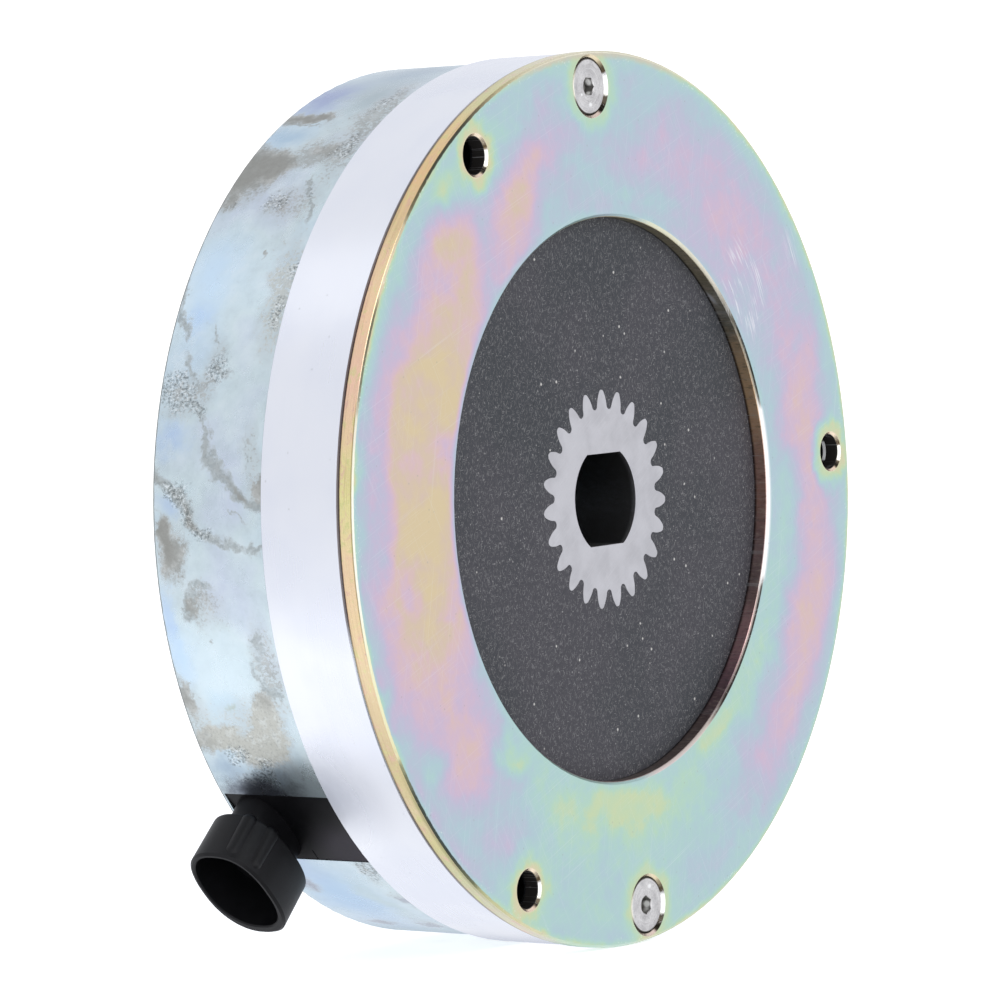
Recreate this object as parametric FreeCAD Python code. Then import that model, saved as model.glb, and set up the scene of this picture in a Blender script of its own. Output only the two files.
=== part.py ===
import FreeCAD, Part
import math
import os

V = FreeCAD.Vector

# Motor brake, spring applied and electrically released. Millimetres.
# Frame: the brake's axis is Y. The mounting plate's front face lies on y = 0 and
# faces -Y, towards the motor; everything else stands behind it, towards +Y.
# Z is up, and the origin is the centre of the bolt circle on the mounting face.
# Angles are counted in the X-Z plane, from +X towards +Z.

# ---------------------------------------------------------------- dimensions
PLATE_R = 80.0            # outer radius of the mounting plate
PLATE_T = 3.0             # its thickness
PLATE_OPEN_R = 50.5       # its central opening
PLATE_OPEN_CHAMFER = 0.5
RING_R = 79.8             # spacer ring, outside
RING_IN_R = 67.0          # spacer ring, inside
RING_Y1 = 19.5            # rear face of the spacer ring
BODY_R = 79.0             # magnet body, outside
BODY_Y1 = 43.5            # rear face of the magnet body
BODY_ROUND = 1.0          # rounding of its rear edge

BOLT_R = 73.75            # radius of the bolt circle (pitch circle 147.5)
HOLE_R = 3.3              # clearance holes for M6
HOLE_CHAMFER = 0.5
HOLE_ANGLES = (6.2, 126.2, 246.2)
SCREW_ANGLES = (96.2, 276.2)
SCREW_HOLE_R = 2.75       # clearance holes for M5
SCREW_R = 2.5
SCREW_TAP_R = 2.52        # threaded holes in the body, drawn plain
SCREW_TAP_DEPTH = 14.0
SINK_R = 5.65             # countersink at the plate's face
HEAD_R = 5.00             # screw head
HEAD_Y = 0.40             # its face lies this far below the plate's face
HEAD_EDGE = 0.13          # width of the broken edge round that face
SCREW_END = 30.3          # tip of the M5 x 30 screw
HEX_AF = 3.05             # hexagon socket across flats
HEX_DEPTH = 1.90

HUB_TEETH = 23
HUB_TIP_R = 19.66
HUB_ROOT_R = 16.22
HUB_PHASE = 93.07         # one tooth stands at this angle
HUB_BORE_R = 9.8          # double-D bore: round part
HUB_FLAT = 8.25           # and its flats, from the axis
HUB_Y1 = 19.0
SPLINE_GAP = 0.06         # clearance all round the hub's teeth

GAP = 0.02                # between friction faces
LINING_R = 64.8
LINING_T = 3.0
CORE_R = 64.4
CORE_T = 2.0

ARM_R = 66.0              # armature plate
ARM_IN_R = 22.0
ARM_Y1 = 18.9
SHIM_T = 0.15             # residual shim on the armature's rear face
SHIM_R0, SHIM_R1 = 24.0, 33.5

PIN_R = 3.0               # guide pins
PIN_CIRCLE = 59.5
PIN_HOLE_R = 3.05         # running holes in the armature
PIN_Y0, PIN_Y1 = 12.0, 31.5
PIN_ANGLES = (6.2, 126.2, 246.2)

SPRING_CIRCLE = 59.5
SPRING_ANGLES = (36.2, 96.2, 156.2, 216.2, 276.2, 336.2)
SPRING_POCKET_R = 4.6
SPRING_POCKET_DEPTH = 18.0
SPRING_WIRE = 1.2
SPRING_MEAN_R = 3.55
SPRING_TURNS = 8.5

COIL_R0, COIL_R1 = 34.0, 53.0     # groove for the coil
COIL_DEPTH = 18.0
BODY_BORE_R = 22.0
CAP_SEAT_R = 25.0
CAP_SEAT_DEPTH = 2.0

CONN_ANGLE = 225.5        # connector, radially outwards
CONN_HALF = 8.5           # half width of the visible base
CONN_FLAT = 78.45         # the base's flat, from the axis
SLOT_WEB = 1.15           # the body's rear rim runs on behind it
SLOT_HALF = 8.58
SLOT_NECK = 76.0          # the slot is wider below this distance from the axis
SLOT_FLOOR = 72.0
FOOT_HALF = 10.5
FOOT_Y1 = 40.9
SHROUD_BACK = 83.7        # shoulder of the socket's shroud
SHROUD_MOUTH = 93.2       # its mouth
SHROUD_YC = 37.05         # its centre along the axis
SHROUD_TC = 0.65          # and across it
SHROUD_A = 7.75           # half size along the axis, outside
SHROUD_B = 10.6           # half size across it, outside
SHROUD_WALL = 1.05
SHROUD_EDGE = 0.5         # rounding of its shoulder
SHROUD_LIP = 0.42         # rounding of its mouth, outside
SOCKET_TC = 0.25          # the socket's centre across it
SOCKET_B = 9.15           # and its half size across it
RIB_R = 1.50              # two soft ribs along it
RIB_SUNK = 0.84           # their centre lines lie this far inside its surface
CONTACT_TIP = 87.6        # the contacts end this far from the axis
SOCKET_FLOOR = 84.9
NECK_A, NECK_B = 4.5, 8.0
PIN_PITCH = 4.0           # connector contacts
LEAD_R = 1.0              # insulated leads
LEAD_Y = 31.0
PASSAGE_R = 3.5           # radial passage for the leads

os.makedirs("parts", exist_ok=True)
AX = V(0, 1, 0)


def rad(a):
    return math.radians(a)


def polar(r, a, y=0.0):
    return V(r * math.cos(rad(a)), y, r * math.sin(rad(a)))


def cyl(r, y0, y1, at=V(0, 0, 0)):
    return Part.makeCylinder(r, y1 - y0, V(at.x, y0, at.z), AX)


def cone(r0, r1, y0, y1, at=V(0, 0, 0)):
    return Part.makeCone(r0, r1, y1 - y0, V(at.x, y0, at.z), AX)


def turned(points):
    """Solid of revolution about the brake's axis from (radius, y) points."""
    pts = [V(r, y, 0) for r, y in points]
    face = Part.Face(Part.makePolygon(pts + [pts[0]]))
    solid = face.revolve(V(0, 0, 0), AX, 360)
    if solid.ShapeType != "Solid":
        solid = Part.Solid(solid.Shells[0])
    return fix(solid)


def fix(s):
    if s.ShapeType != "Solid" and len(s.Solids) == 1:
        s = s.Solids[0]
    if s.Volume < 0:
        s.reverse()
    return s


def write(shape, name):
    if not isinstance(shape, (list, tuple)):
        shape = shape.Solids
    solids = list(shape)
    for s in solids:
        assert s.isValid() and s.Volume > 0, (name, s.isValid(), s.Volume)
    out = solids[0] if len(solids) == 1 else Part.makeCompound(solids)
    out.exportStep("parts/%s.step" % name)
    b = out.BoundBox
    print("%-18s solids %2d  vol %9.1f  x %.2f..%.2f  y %.2f..%.2f  z %.2f..%.2f" % (
        name, len(solids), sum(s.Volume for s in solids), b.XMin, b.XMax, b.YMin, b.YMax, b.ZMin, b.ZMax))
    return out


# local directions of the connector: radially out, across, and along the axis
ER = polar(1.0, CONN_ANGLE)
ET = V(-math.sin(rad(CONN_ANGLE)), 0, math.cos(rad(CONN_ANGLE)))


def conn(r, t, y):
    return ER * r + ET * t + AX * y


def conn_box(r0, r1, t0, t1, y0, y1):
    base = Part.makePolygon([conn(r0, t0, y0), conn(r0, t1, y0), conn(r0, t1, y1), conn(r0, t0, y1), conn(r0, t0, y0)])
    return fix(Part.Face(base).extrude(ER * (r1 - r0)))


# ------------------------------------------------------------ mounting plate
c = 0.28
plate = turned([(PLATE_OPEN_R + PLATE_OPEN_CHAMFER, 0), (PLATE_R - c, 0), (PLATE_R, c), (PLATE_R, PLATE_T - 0.2),
                (PLATE_R - 0.2, PLATE_T), (PLATE_OPEN_R, PLATE_T), (PLATE_OPEN_R, PLATE_OPEN_CHAMFER)])
for a in HOLE_ANGLES:
    p = polar(BOLT_R, a)
    plate = plate.cut(cyl(HOLE_R, -1, PLATE_T + 1, p))
    plate = plate.cut(cone(HOLE_R + HOLE_CHAMFER, HOLE_R, 0, HOLE_CHAMFER, p))
for a in SCREW_ANGLES:
    p = polar(BOLT_R, a)
    plate = plate.cut(cyl(SCREW_HOLE_R, -1, PLATE_T + 1, p))
    plate = plate.cut(cone(SINK_R, SCREW_HOLE_R, 0, SINK_R - SCREW_HOLE_R, p))
write(fix(plate), "mounting_plate")

# -------------------------------------------------------------- plate screws
screws = []
for n, a in enumerate(SCREW_ANGLES):
    y_cone = SINK_R - HEAD_R - 0.02           # where the head's cone starts, just clear of the countersink
    y_shank = y_cone + HEAD_R - SCREW_R
    prof = [(0, HEAD_Y), (HEAD_R - HEAD_EDGE, HEAD_Y), (HEAD_R, y_cone), (SCREW_R, y_shank),
            (SCREW_R, SCREW_END - 0.6), (SCREW_R - 0.6, SCREW_END), (0, SCREW_END)]
    s = turned(prof)
    hexpts = [V(HEX_AF / math.sqrt(3) * math.cos(rad(30 + 60 * k)), HEAD_Y - 0.5,
                HEX_AF / math.sqrt(3) * math.sin(rad(30 + 60 * k))) for k in range(6)]
    hexa = Part.Face(Part.makePolygon(hexpts + [hexpts[0]])).extrude(AX * (HEX_DEPTH + 0.5))
    s = s.cut(hexa)
    s = s.cut(Part.makeCone(HEX_AF / 2, 0.0, 0.75, V(0, HEAD_Y + HEX_DEPTH, 0), AX))
    s = s.cut(Part.makeCone(HEX_AF / math.sqrt(3) + 0.03, HEX_AF / 2, 0.16, V(0, HEAD_Y - 0.001, 0), AX))
    s = fix(s)
    s.rotate(V(0, 0, 0), AX, (28, 0)[n])
    s.translate(polar(BOLT_R, a))
    screws.append(s)
write(screws, "plate_screws")

# --------------------------------------------------------------- spacer ring
c = 0.3
ring = turned([(RING_IN_R, PLATE_T), (RING_R - c, PLATE_T), (RING_R, PLATE_T + c), (RING_R, RING_Y1 - c),
               (RING_R - c, RING_Y1), (RING_IN_R, RING_Y1)])
for a in HOLE_ANGLES:
    ring = ring.cut(cyl(HOLE_R, 0, RING_Y1 + 1, polar(BOLT_R, a)))
for a in SCREW_ANGLES:
    ring = ring.cut(cyl(SCREW_HOLE_R, 0, RING_Y1 + 1, polar(BOLT_R, a)))
write(fix(ring), "spacer_ring")

# ------------------------------------------------------ hub and rotor disc
Y_DISC = PLATE_T + GAP


def spline_wire(y):
    """Closed outline of the hub's teeth: bulging flanks like an involute's, rounded tips and roots."""
    edges = []
    step = 360.0 / HUB_TEETH

    def at(u, v, th):
        er = V(math.cos(rad(th)), 0, math.sin(rad(th)))
        et = V(-math.sin(rad(th)), 0, math.cos(rad(th)))
        return er * v + et * u + V(0, y, 0)
    for k in range(HUB_TEETH):
        th = HUB_PHASE + k * step
        a0, m0, b0 = at(-1.53, 16.77, th), at(-1.24, 18.10, th), at(-0.62, 19.35, th)
        b1, m1, a1 = at(0.62, 19.35, th), at(1.24, 18.10, th), at(1.53, 16.77, th)
        a2 = at(-1.53, 16.77, th + step)
        edges.append(Part.Arc(a0, m0, b0).toShape())
        edges.append(Part.Arc(b0, at(0, HUB_TIP_R, th), b1).toShape())
        edges.append(Part.Arc(b1, m1, a1).toShape())
        edges.append(Part.Arc(a1, polar(HUB_ROOT_R, th + step / 2, y), a2).toShape())
    return Part.Wire(edges)


def prism(wire, y0, y1):
    f = Part.Face(wire)
    f.translate(V(0, y0 - wire.BoundBox.YMin, 0))
    return fix(f.extrude(AX * (y1 - y0)))


tooth = spline_wire(0.0)
hub = prism(tooth, Y_DISC, HUB_Y1)
# ends slightly chamfered by turning: the teeth's tips are relieved at the rear
hub = hub.common(turned([(0, Y_DISC), (HUB_TIP_R - 0.03, Y_DISC), (HUB_TIP_R + 0.05, Y_DISC + 0.08),
                         (HUB_TIP_R + 0.05, HUB_Y1 - 0.6), (HUB_TIP_R - 0.55, HUB_Y1), (0, HUB_Y1)]))
bore = cyl(HUB_BORE_R, Y_DISC - 1, HUB_Y1 + 1)
flat = Part.makeBox(60, 60, 2 * HUB_FLAT, V(-30, -5, -HUB_FLAT))
flat.rotate(V(0, 0, 0), AX, -(HUB_PHASE - 90))
hub = hub.cut(bore.common(flat))
write(fix(hub), "splined_hub")

opening = tooth.makeOffset2D(SPLINE_GAP)
y = Y_DISC
hole = prism(opening, y - 1, y + 12)
front = turned([(0, y), (LINING_R - 0.3, y), (LINING_R, y + 0.3), (LINING_R, y + LINING_T), (0, y + LINING_T)])
write(fix(front.cut(hole)), "front_lining")
y += LINING_T
write(fix(cyl(CORE_R, y, y + CORE_T).cut(hole)), "disc_core")
y += CORE_T
rear = turned([(0, y), (LINING_R, y), (LINING_R, y + LINING_T - 0.3), (LINING_R - 0.3, y + LINING_T), (0, y + LINING_T)])
write(fix(rear.cut(hole)), "rear_lining")
ARM_Y0 = y + LINING_T + GAP

# ------------------------------------------------------------ armature plate
c = 0.4
arm = turned([(ARM_IN_R, ARM_Y0), (ARM_R - c, ARM_Y0), (ARM_R, ARM_Y0 + c), (ARM_R, ARM_Y1 - c), (ARM_R - c, ARM_Y1),
              (ARM_IN_R + c, ARM_Y1), (ARM_IN_R, ARM_Y1 - c)])
for a in PIN_ANGLES:
    arm = arm.cut(cyl(PIN_HOLE_R, ARM_Y0 - 1, ARM_Y1 + 1, polar(PIN_CIRCLE, a)))
write(fix(arm), "armature_plate")
write(turned([(SHIM_R0, ARM_Y1), (SHIM_R1, ARM_Y1), (SHIM_R1, ARM_Y1 + SHIM_T), (SHIM_R0, ARM_Y1 + SHIM_T)]), "residual_shim")

pins = []
for a in PIN_ANGLES:
    s = turned([(0, PIN_Y0), (PIN_R - 0.5, PIN_Y0), (PIN_R, PIN_Y0 + 0.5), (PIN_R, PIN_Y1 - 0.4), (PIN_R - 0.4, PIN_Y1), (0, PIN_Y1)])
    s.translate(polar(PIN_CIRCLE, a))
    pins.append(s)
write(pins, "guide_pins")

# --------------------------------------------------------------- magnet body
Y0 = RING_Y1
r = BODY_ROUND
body = turned([(0, Y0), (BODY_R - 0.2, Y0), (BODY_R, Y0 + 0.2), (BODY_R, BODY_Y1), (0, BODY_Y1)])
rim = [e for e in body.Edges if abs(e.BoundBox.YMin - BODY_Y1) < 1e-4 and abs(e.BoundBox.YMax - BODY_Y1) < 1e-4
       and e.Length > 2 * math.pi * (BODY_R - 0.5)]
body = fix(body.makeFillet(r, rim))
body = body.cut(turned([(COIL_R0, Y0 - 1), (COIL_R1, Y0 - 1), (COIL_R1, Y0 + COIL_DEPTH), (COIL_R0, Y0 + COIL_DEPTH)]))
body = body.cut(cyl(BODY_BORE_R, Y0 - 1, BODY_Y1 + 1))
body = body.cut(turned([(0, BODY_Y1 - CAP_SEAT_DEPTH), (CAP_SEAT_R, BODY_Y1 - CAP_SEAT_DEPTH), (CAP_SEAT_R, BODY_Y1 - 0.4),
                        (CAP_SEAT_R + 0.4, BODY_Y1), (CAP_SEAT_R + 0.4, BODY_Y1 + 1), (0, BODY_Y1 + 1)]))
for a in HOLE_ANGLES:
    p = polar(BOLT_R, a)
    body = body.cut(cyl(HOLE_R, Y0 - 1, BODY_Y1 + 1, p))
    body = body.cut(cone(HOLE_R, HOLE_R + 0.4, BODY_Y1 - 0.4, BODY_Y1, p))
for a in SCREW_ANGLES:
    p = polar(BOLT_R, a)
    body = body.cut(cyl(SCREW_TAP_R, Y0 - 1, Y0 + SCREW_TAP_DEPTH, p))
    body = body.cut(cone(SCREW_TAP_R, 0, Y0 + SCREW_TAP_DEPTH, Y0 + SCREW_TAP_DEPTH + 1.45, p))
for a in PIN_ANGLES:
    body = body.cut(cyl(PIN_R, Y0 - 1, PIN_Y1 + 0.5, polar(PIN_CIRCLE, a)))
for a in SPRING_ANGLES:
    body = body.cut(cyl(SPRING_POCKET_R, Y0 - 1, Y0 + SPRING_POCKET_DEPTH, polar(SPRING_CIRCLE, a)))
# slot for the connector: an upright T in section, wide at its floor
body = body.cut(conn_box(SLOT_NECK - 0.5, 85, -SLOT_HALF, SLOT_HALF, Y0 - 1, BODY_Y1 - SLOT_WEB))
body = body.cut(conn_box(SLOT_FLOOR, SLOT_NECK, -FOOT_HALF - 0.08, FOOT_HALF + 0.08, Y0 - 1, FOOT_Y1 + 0.1))
# radial passage for the leads
body = body.cut(Part.makeCylinder(PASSAGE_R, SLOT_FLOOR - COIL_R1 + 4, conn(COIL_R1 - 3, 0, LEAD_Y), ER))
write(fix(body), "magnet_body")

cap = turned([(0, BODY_Y1 - CAP_SEAT_DEPTH), (CAP_SEAT_R - 0.4, BODY_Y1 - CAP_SEAT_DEPTH),
              (CAP_SEAT_R, BODY_Y1 - CAP_SEAT_DEPTH + 0.4), (CAP_SEAT_R, BODY_Y1 - 0.35), (CAP_SEAT_R - 0.3, BODY_Y1 - 0.2),
              (CAP_SEAT_R - 0.9, BODY_Y1 - 0.2), (CAP_SEAT_R - 1.2, BODY_Y1 - 0.9), (CAP_SEAT_R - 4.2, BODY_Y1 - 0.9),
              (CAP_SEAT_R - 4.9, BODY_Y1 - 0.5), (0, BODY_Y1 - 0.5)])
write(cap, "bore_cap")

# ----------------------------------------------------------------- springs
Y_SB = Y0 + SPRING_POCKET_DEPTH
L = Y_SB - ARM_Y1 - 0.02
springs = []
proto = None
w = SPRING_WIRE / 2


def spring(length):
    """Compression spring along +Y with closed ends ground flat."""
    edges = []
    dead = 0.9
    body_turns = SPRING_TURNS - 2 * dead
    n = 14
    pts = []
    total = int(SPRING_TURNS * n)
    end_pitch = SPRING_WIRE * 1.02
    free = length - SPRING_WIRE - 2 * dead * end_pitch + 0.7
    for i in range(total + 1):
        tt = i / n
        if tt < dead:
            h = tt * end_pitch
        elif tt > SPRING_TURNS - dead:
            h = dead * end_pitch + free + (tt - (SPRING_TURNS - dead)) * end_pitch
        else:
            h = dead * end_pitch + free * (tt - dead) / body_turns
        ang = 2 * math.pi * tt
        pts.append(V(SPRING_MEAN_R * math.cos(ang), h + w - 0.35, SPRING_MEAN_R * math.sin(ang)))
    curve = Part.BSplineCurve()
    curve.interpolate(pts)
    path = Part.Wire([curve.toShape()])
    tan = curve.tangent(curve.FirstParameter)[0]
    circ = Part.Wire([Part.Circle(pts[0], tan, w).toShape()])
    sh = path.makePipeShell([circ], True, True)
    s = fix(sh)
    slab = cyl(SPRING_MEAN_R + 2, 0, length)
    return fix(s.common(slab))


try:
    proto = spring(L)
    assert proto.isValid() and len(proto.Solids) == 1
except Exception as e:
    print("spring fallback", e)
    proto = fix(cyl(SPRING_MEAN_R + w, 0, L).cut(cyl(SPRING_MEAN_R - w, -1, L + 1)))
for n, a in enumerate(SPRING_ANGLES):
    s = proto.copy()
    s.rotate(V(0, 0, 0), AX, 40 * n)
    p = polar(SPRING_CIRCLE, a)
    s.translate(V(p.x, ARM_Y1 + 0.01, p.z))
    springs.append(s)
write(springs, "pressure_springs")

# -------------------------------------------------------------------- coil
YC0 = Y0 + 2.0            # bobbin's front flange
YC1 = Y0 + COIL_DEPTH - 0.05
bob = turned([(COIL_R0 + 0.1, YC0), (50.0, YC0), (50.0, YC0 + 1.2), (35.4, YC0 + 1.2), (35.4, YC1 - 1.2), (50.0, YC1 - 1.2),
              (50.0, YC1), (COIL_R0 + 0.1, YC1)])
write(bob, "coil_bobbin")
wy0, wy1 = YC0 + 1.2, YC1 - 1.2
wr0, wr1 = 35.4, 48.6
wind = turned([(wr0, wy0), (wr1 - 0.4, wy0), (wr1, wy0 + 0.4), (wr1, wy1 - 0.4), (wr1 - 0.4, wy1), (wr0, wy1)])
write(wind, "coil_winding")

# leads: from the splice beside the coil, through the passage, up to the contacts
R_SPL = 50.6
leads, splices = [], []
for sgn in (1, -1):
    t0 = sgn * PIN_PITCH / 2
    bend = 1.3
    p0 = conn(R_SPL, t0 + sgn * (bend + 0.05), LEAD_Y)
    p1 = conn(R_SPL, t0 + sgn * bend, LEAD_Y)
    q = math.sqrt(0.5)
    pm = conn(R_SPL + bend * (1 - q), t0 + sgn * bend * (1 - q), LEAD_Y)
    p2 = conn(R_SPL + bend, t0, LEAD_Y)
    b2 = 1.6
    r_run = 75.4
    p3 = conn(r_run - b2, t0, LEAD_Y)
    pm2 = conn(r_run - b2 * (1 - q), t0, LEAD_Y + b2 * (1 - q))
    p4 = conn(r_run, t0, LEAD_Y + b2)
    p5 = conn(r_run, t0, 36.0)
    wire = Part.Wire([Part.LineSegment(p0, p1).toShape(), Part.Arc(p1, pm, p2).toShape(), Part.LineSegment(p2, p3).toShape(),
                      Part.Arc(p3, pm2, p4).toShape(), Part.LineSegment(p4, p5).toShape()])
    prof = Part.Wire([Part.Circle(p0, ET * sgn, LEAD_R).toShape()])
    leads.append(fix(wire.makePipeShell([prof], True, True)))
    sp = Part.makeCylinder(1.2, 5.2, p0, ET * sgn)
    splices.append(fix(sp))
write(leads, "lead_wires")
write(splices, "lead_splices")

pot = turned([(COIL_R0 + 0.05, Y0 + 0.2), (COIL_R1 - 0.05, Y0 + 0.2), (COIL_R1 - 0.05, YC1), (50.0, YC1), (50.0, YC1 - 1.2),
              (wr1 - 0.4, YC1 - 1.2), (wr1, YC1 - 1.6), (wr1, YC0 + 1.6), (wr1 - 0.4, YC0 + 1.2), (50.0, YC0 + 1.2),
              (50.0, YC0), (COIL_R0 + 0.05, YC0)])
for s in leads + splices:
    pot = pot.cut(s)
write(fix(pot), "coil_potting")

grom = Part.makeCylinder(PASSAGE_R - 0.02, SLOT_FLOOR - 53.3, conn(53.2, 0, LEAD_Y), ER)
for sgn in (1, -1):
    grom = grom.cut(Part.makeCylinder(LEAD_R + 0.02, 40, conn(45, sgn * PIN_PITCH / 2, LEAD_Y), ER))
write(fix(grom), "wire_grommet")

# --------------------------------------------------------------- connector
seal = conn_box(SLOT_FLOOR, SLOT_FLOOR + 1.5, -FOOT_HALF + 0.1, FOOT_HALF - 0.1, Y0 + 0.3, FOOT_Y1 - 0.1)
seal = seal.cut(conn_box(SLOT_FLOOR - 1, SLOT_FLOOR + 3, -4.0, 4.0, 27.0, 39.0))
write(fix(seal), "connector_seal")


def oval(r, a, b, yc=SHROUD_YC, tc=SHROUD_TC, n_front=2.7, n_rear=2.15, count=48):
    """Closed D-like oval in a plane square to the connector's direction."""
    pts = []
    for k in range(count):
        q = 2 * math.pi * k / count
        cq, sq = math.cos(q), math.sin(q)
        n = n_front if cq < 0 else n_rear
        m = 2.0 / n
        dy = a * math.copysign(abs(cq) ** m, cq)
        dt = b * math.copysign(abs(sq) ** (2.0 / 2.4), sq)
        pts.append(conn(r, tc + dt, yc + dy))
    cv = Part.BSplineCurve()
    cv.interpolate(pts, True)
    return Part.Wire([cv.toShape()])


def loft(wires, ruled=False):
    return fix(Part.makeLoft(wires, True, ruled))


base = conn_box(SLOT_NECK - 0.2, CONN_FLAT, -CONN_HALF, CONN_HALF, Y0 + 0.08, BODY_Y1 - SLOT_WEB - 0.06)
foot = conn_box(SLOT_FLOOR + 1.5, SLOT_NECK - 0.05, -FOOT_HALF, FOOT_HALF, Y0 + 0.08, FOOT_Y1)
neck = loft([oval(CONN_FLAT - 1.0, NECK_A + 0.2, NECK_B + 0.1, 37.5, 0.2, 2.4, 2.4),
             oval(SHROUD_BACK + 0.6, NECK_A, NECK_B - 0.2, 37.5, 0.2, 2.4, 2.4)], True)
sh = SHROUD_EDGE
taper = 0.12                                  # the shroud widens this much towards its mouth
outer = [oval(SHROUD_BACK, SHROUD_A - taper - sh, SHROUD_B - taper - sh)]
for q in (22.5, 45, 67.5, 90):
    outer.append(oval(SHROUD_BACK + sh * (1 - math.cos(rad(q))), SHROUD_A - taper - sh * (1 - math.sin(rad(q))),
                      SHROUD_B - taper - sh * (1 - math.sin(rad(q)))))
lip = SHROUD_LIP
for q in (90, 60, 30, 0):
    outer.append(oval(SHROUD_MOUTH - lip * math.sin(rad(q)), SHROUD_A - lip * (1 - math.sin(rad(q))), SHROUD_B - lip * (1 - math.sin(rad(q)))))
shroud = loft(outer, True)
# two rounded ribs on the corner that faces the spacer ring, running out towards the mouth
for yy, tt in ((30.75, -5.6), (33.55, -8.95)):
    # where the line from the outline's centre leaves the shroud's surface, and the rib's line just inside it
    dy, dt = yy - SHROUD_YC, tt - SHROUD_TC
    d = math.hypot(dy, dt)
    uy, ut = dy / d, dt / d
    lo, hi = 4.0, 14.0
    for _ in range(40):
        m = (lo + hi) / 2
        inside = (abs(m * uy) / (SHROUD_A - taper / 2)) ** 2.7 + (abs(m * ut) / (SHROUD_B - taper / 2)) ** 2.4 < 1
        lo, hi = (m, hi) if inside else (lo, m)
    rr = lo - RIB_SUNK
    p_back = conn(SHROUD_BACK + 0.9, SHROUD_TC + ut * (rr - taper / 2), SHROUD_YC + uy * (rr - taper / 2))
    p_out = conn(SHROUD_MOUTH - 2.15, SHROUD_TC + ut * (rr + taper / 2 - 0.06), SHROUD_YC + uy * (rr + taper / 2 - 0.06))
    dirv = p_out.sub(p_back)
    rib = Part.makeCone(RIB_R, RIB_R - 0.15, dirv.Length, p_back, dirv)
    rib = rib.fuse(Part.makeSphere(RIB_R, p_back)).fuse(Part.makeSphere(RIB_R - 0.15, p_out))
    shroud = shroud.fuse(rib)
sa = SHROUD_A - SHROUD_WALL
socket = loft([oval(SOCKET_FLOOR, sa - 0.15, SOCKET_B - 0.15, tc=SOCKET_TC), oval(SHROUD_MOUTH - 0.25, sa, SOCKET_B, tc=SOCKET_TC),
               oval(SHROUD_MOUTH + 0.02, sa + 0.25, SOCKET_B + 0.25, tc=SOCKET_TC)], True)
house = base.fuse(foot).fuse(neck).fuse(shroud).cut(socket)
# pocket under the base for the contacts' crimps
house = house.cut(conn_box(SLOT_FLOOR + 1, 77.0, -3.7, 3.7, 27.5, 40.2))
# a short mould line on the base, in front of the socket
house = house.cut(conn_box(CONN_FLAT - 0.12, CONN_FLAT + 0.01, CONN_HALF - 2.4, CONN_HALF + 1, 31.2, 31.42))

contacts = []
for sgn in (1, -1):
    t0 = sgn * PIN_PITCH / 2
    r_tip = CONTACT_TIP - 0.7                  # the blade tapers from here
    blade = conn_box(76.2, r_tip, t0 - 0.4, t0 + 0.4, 36.6, 38.4)
    w0 = Part.makePolygon([conn(r_tip, t0 + dt, y) for dt, y in ((-0.4, 36.6), (0.4, 36.6), (0.4, 38.4), (-0.4, 38.4), (-0.4, 36.6))])
    w1 = Part.makePolygon([conn(CONTACT_TIP, t0 + dt, y) for dt, y in ((-0.15, 37.0), (0.15, 37.0), (0.15, 38.0), (-0.15, 38.0), (-0.15, 37.0))])
    tip = loft([w0, w1], True)
    barrel = Part.makeCylinder(1.25, 3.6, conn(75.4, t0, 36.0), AX)
    cpt = fix(blade.fuse(tip).fuse(barrel).removeSplitter())
    contacts.append(cpt)
    house = house.cut(conn_box(76.9, r_tip, t0 - 0.4, t0 + 0.4, 36.6, 38.4))
write(fix(house), "connector_housing")
write(contacts, "terminal_pins")
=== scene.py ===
import math

import bpy
from mathutils import Matrix, Vector

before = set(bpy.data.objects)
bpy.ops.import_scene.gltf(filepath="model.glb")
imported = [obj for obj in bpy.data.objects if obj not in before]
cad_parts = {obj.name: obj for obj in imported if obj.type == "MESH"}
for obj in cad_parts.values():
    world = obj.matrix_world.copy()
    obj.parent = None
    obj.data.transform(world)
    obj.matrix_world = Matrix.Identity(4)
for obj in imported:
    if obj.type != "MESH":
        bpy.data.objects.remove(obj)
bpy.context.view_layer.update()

scene = bpy.context.scene
scene.view_settings.view_transform = "Standard"
scene.view_settings.look = "None"
scene.view_settings.exposure = 0.0
scene.view_settings.gamma = 1.0

# Angles are in degrees in the X-Z plane, from +X towards +Z, and lengths in the
# materials are millimetres, as on the drawing of the part.
BOLT_R = 73.75
HOLES = (6.2, 126.2, 246.2)
SCREWS = (96.2, 276.2)


def rad(a):
    return math.radians(a)


def lin(c):
    """A colour as a painter reads it, 0 to 255, to the linear values that the shaders take."""
    out = []
    for v in c:
        v = v / 255.0
        out.append(v / 12.92 if v <= 0.04045 else ((v + 0.055) / 1.055) ** 2.4)
    return tuple(out) + (1.0,)


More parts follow.
